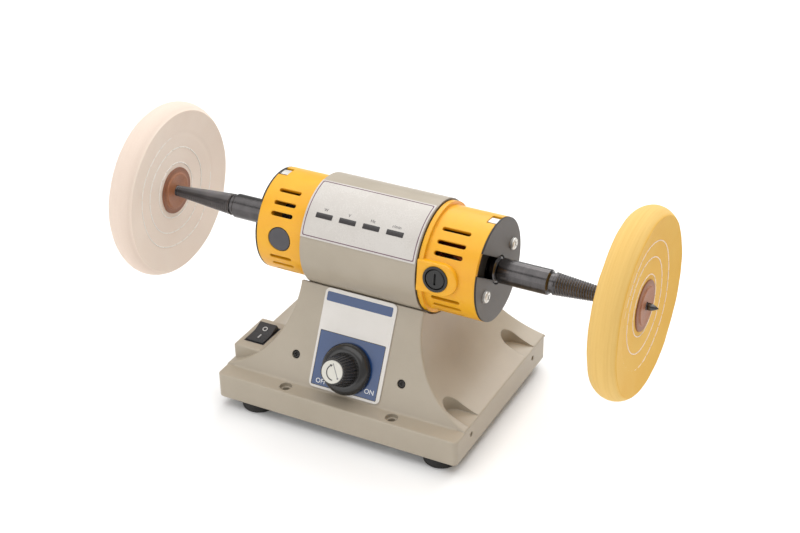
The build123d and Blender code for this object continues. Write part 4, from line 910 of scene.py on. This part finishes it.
def makeLabelPrint():
    # The label lies on the housing: across is along the axle, up is an arc round it
    p = labelPrint
    spots = meshPoints("motor_label")
    radius = np.hypot(spots[:, 1] - axle[1], spots[:, 2] - axle[2]).max() / mm
    rise = np.arctan2(spots[:, 2] - axle[2], axle[1] - spots[:, 1])
    low, high = spots[:, 0].min() / mm, spots[:, 0].max() / mm
    middleRise = (rise.max() + rise.min()) / 2

    def onLabel(u, v, w):
        angle = middleRise + v / radius
        out = (radius + w) * mm
        return np.stack([u * mm, axle[1] - out * np.cos(angle), axle[2] + out * np.sin(angle)], -1)

    heights = (-filmSink, filmRise)
    centre = ((low + high) / 2, 0)
    size = np.array([high - low, np.ptp(rise) * radius]) - 2 * p["inset"]
    outer = roundedOutline(*size, p["lineCorner"], 240, centre)
    inner = roundedOutline(*(size - 2 * p["lineWidth"]), p["lineCorner"], 240, centre)
    film("labelLine", outer, inner, heights, onLabel, "frame", "ink_red")
    angles = [radians(p[key]) for key in ("fieldAngle", "captionAngle")]
    fieldRise, captionRise = ((angle - middleRise) * radius for angle in angles)
    for k, caption in enumerate(p["captions"]):
        across = low + p["fieldStart"] + k * p["fieldStep"]
        field = roundedOutline(*p["fieldSize"], p["fieldCorner"], 64, (across, fieldRise))
        film("labelField%d" % (k + 1), field, None, heights, onLabel, "frame", "ink_black")
        name, place, height = "labelUnit%d" % (k + 1), (across, captionRise), p["captionHeight"]
        words(name, caption, height, onLabel, place, heights, "frame", "ink_black")


makeLabelPrint()
print("prints made")


# Stage, lights and camera
stageLook = {
    "size": 24.0, "skyStrength": 0.5, "floorTones": (tone(250, 250, 250), tone(252, 252, 252)),
    "lights": {
        "topSoftbox": {"place": (0.0, 0.0, 1.5), "size": 2.0, "power": 18.5},
        "backSoftbox": {"place": (0.0, 1.1, 1.1), "size": 1.2, "power": 11.5},
        "frontSoftbox": {"place": (-0.6, -1.3, 0.52), "size": 1.2, "power": 5.5},
    },
}


def makeStage():
    half = stageLook["size"] / 2
    u, v = np.meshgrid(np.linspace(-half, half, 3), np.linspace(-half, half, 3), indexing="ij")
    points = np.stack([u, v, 0 * u], -1).reshape(-1, 3)
    mesh = bpy.data.meshes.new("studioFloor")
    mesh.from_pydata(points.tolist(), [], gridFaces(3, 3, False, False).tolist())
    floor = bpy.data.objects.new("studioFloor", mesh)
    bpy.context.scene.collection.objects.link(floor)
    floor.data.materials.append(plainFinish("studio_white", {
        "tones": stageLook["floorTones"], "patch": 6, "grain": 300, "rough": (0.6, 0.7), "depth": 0.02 * mm,
        "strength": 0.1,
    }))
    world = bpy.data.worlds.new("studioSky")
    world.use_nodes = True
    world.node_tree.nodes["Background"].inputs["Color"].default_value = (1, 1, 1, 1)
    world.node_tree.nodes["Background"].inputs["Strength"].default_value = stageLook["skyStrength"]
    bpy.context.scene.world = world
    target = Vector((0, 0, axle[2]))
    for name, look in stageLook["lights"].items():
        light = bpy.data.lights.new(name, "AREA")
        light.size, light.energy = look["size"], look["power"]
        lamp = bpy.data.objects.new(name, light)
        lamp.location = look["place"]
        lamp.rotation_euler = (target - Vector(look["place"])).to_track_quat("-Z", "Y").to_euler()
        bpy.context.scene.collection.objects.link(lamp)
    bpy.context.scene.view_settings.view_transform = "Standard"


photoCamera = {
    "azimuth": 27.89, "elevation": 30.28, "roll": -0.78, "distance": 0.865, "focalPixels": 1597.26,
    "imageSize": (800, 533), "motorPixel": (387.26, 242.2), "sensor": 36.0, "clip": (0.01, 20),
}


def makeCamera():
    # The motor's middle falls on its pixel of the photo: the camera stands back from it and off to the side
    p = photoCamera
    azimuth, elevation, roll = (radians(p[key]) for key in ("azimuth", "elevation", "roll"))
    back = Vector((sin(azimuth) * cos(elevation), -cos(azimuth) * cos(elevation), sin(elevation)))
    level = Vector((cos(azimuth), sin(azimuth), 0))
    upright = back.cross(level)
    right = cos(roll) * level + sin(roll) * upright
    up = cos(roll) * upright - sin(roll) * level
    scale = p["distance"] / p["focalPixels"]
    aside = (p["motorPixel"][0] - p["imageSize"][0] / 2) * scale
    above = (p["imageSize"][1] / 2 - p["motorPixel"][1]) * scale
    place = Vector((0, 0, axle[2])) + back * p["distance"] - right * aside - up * above
    data = bpy.data.cameras.new("photoCamera")
    data.sensor_width = p["sensor"]
    data.lens = p["focalPixels"] / p["imageSize"][0] * p["sensor"]
    data.clip_start, data.clip_end = p["clip"]
    camera = bpy.data.objects.new("photoCamera", data)
    camera.matrix_world = Matrix.Translation(place) @ Matrix((right, up, back)).transposed().to_4x4()
    bpy.context.scene.collection.objects.link(camera)
    bpy.context.scene.camera = camera


makeStage()
makeCamera()
print("stage and camera set")
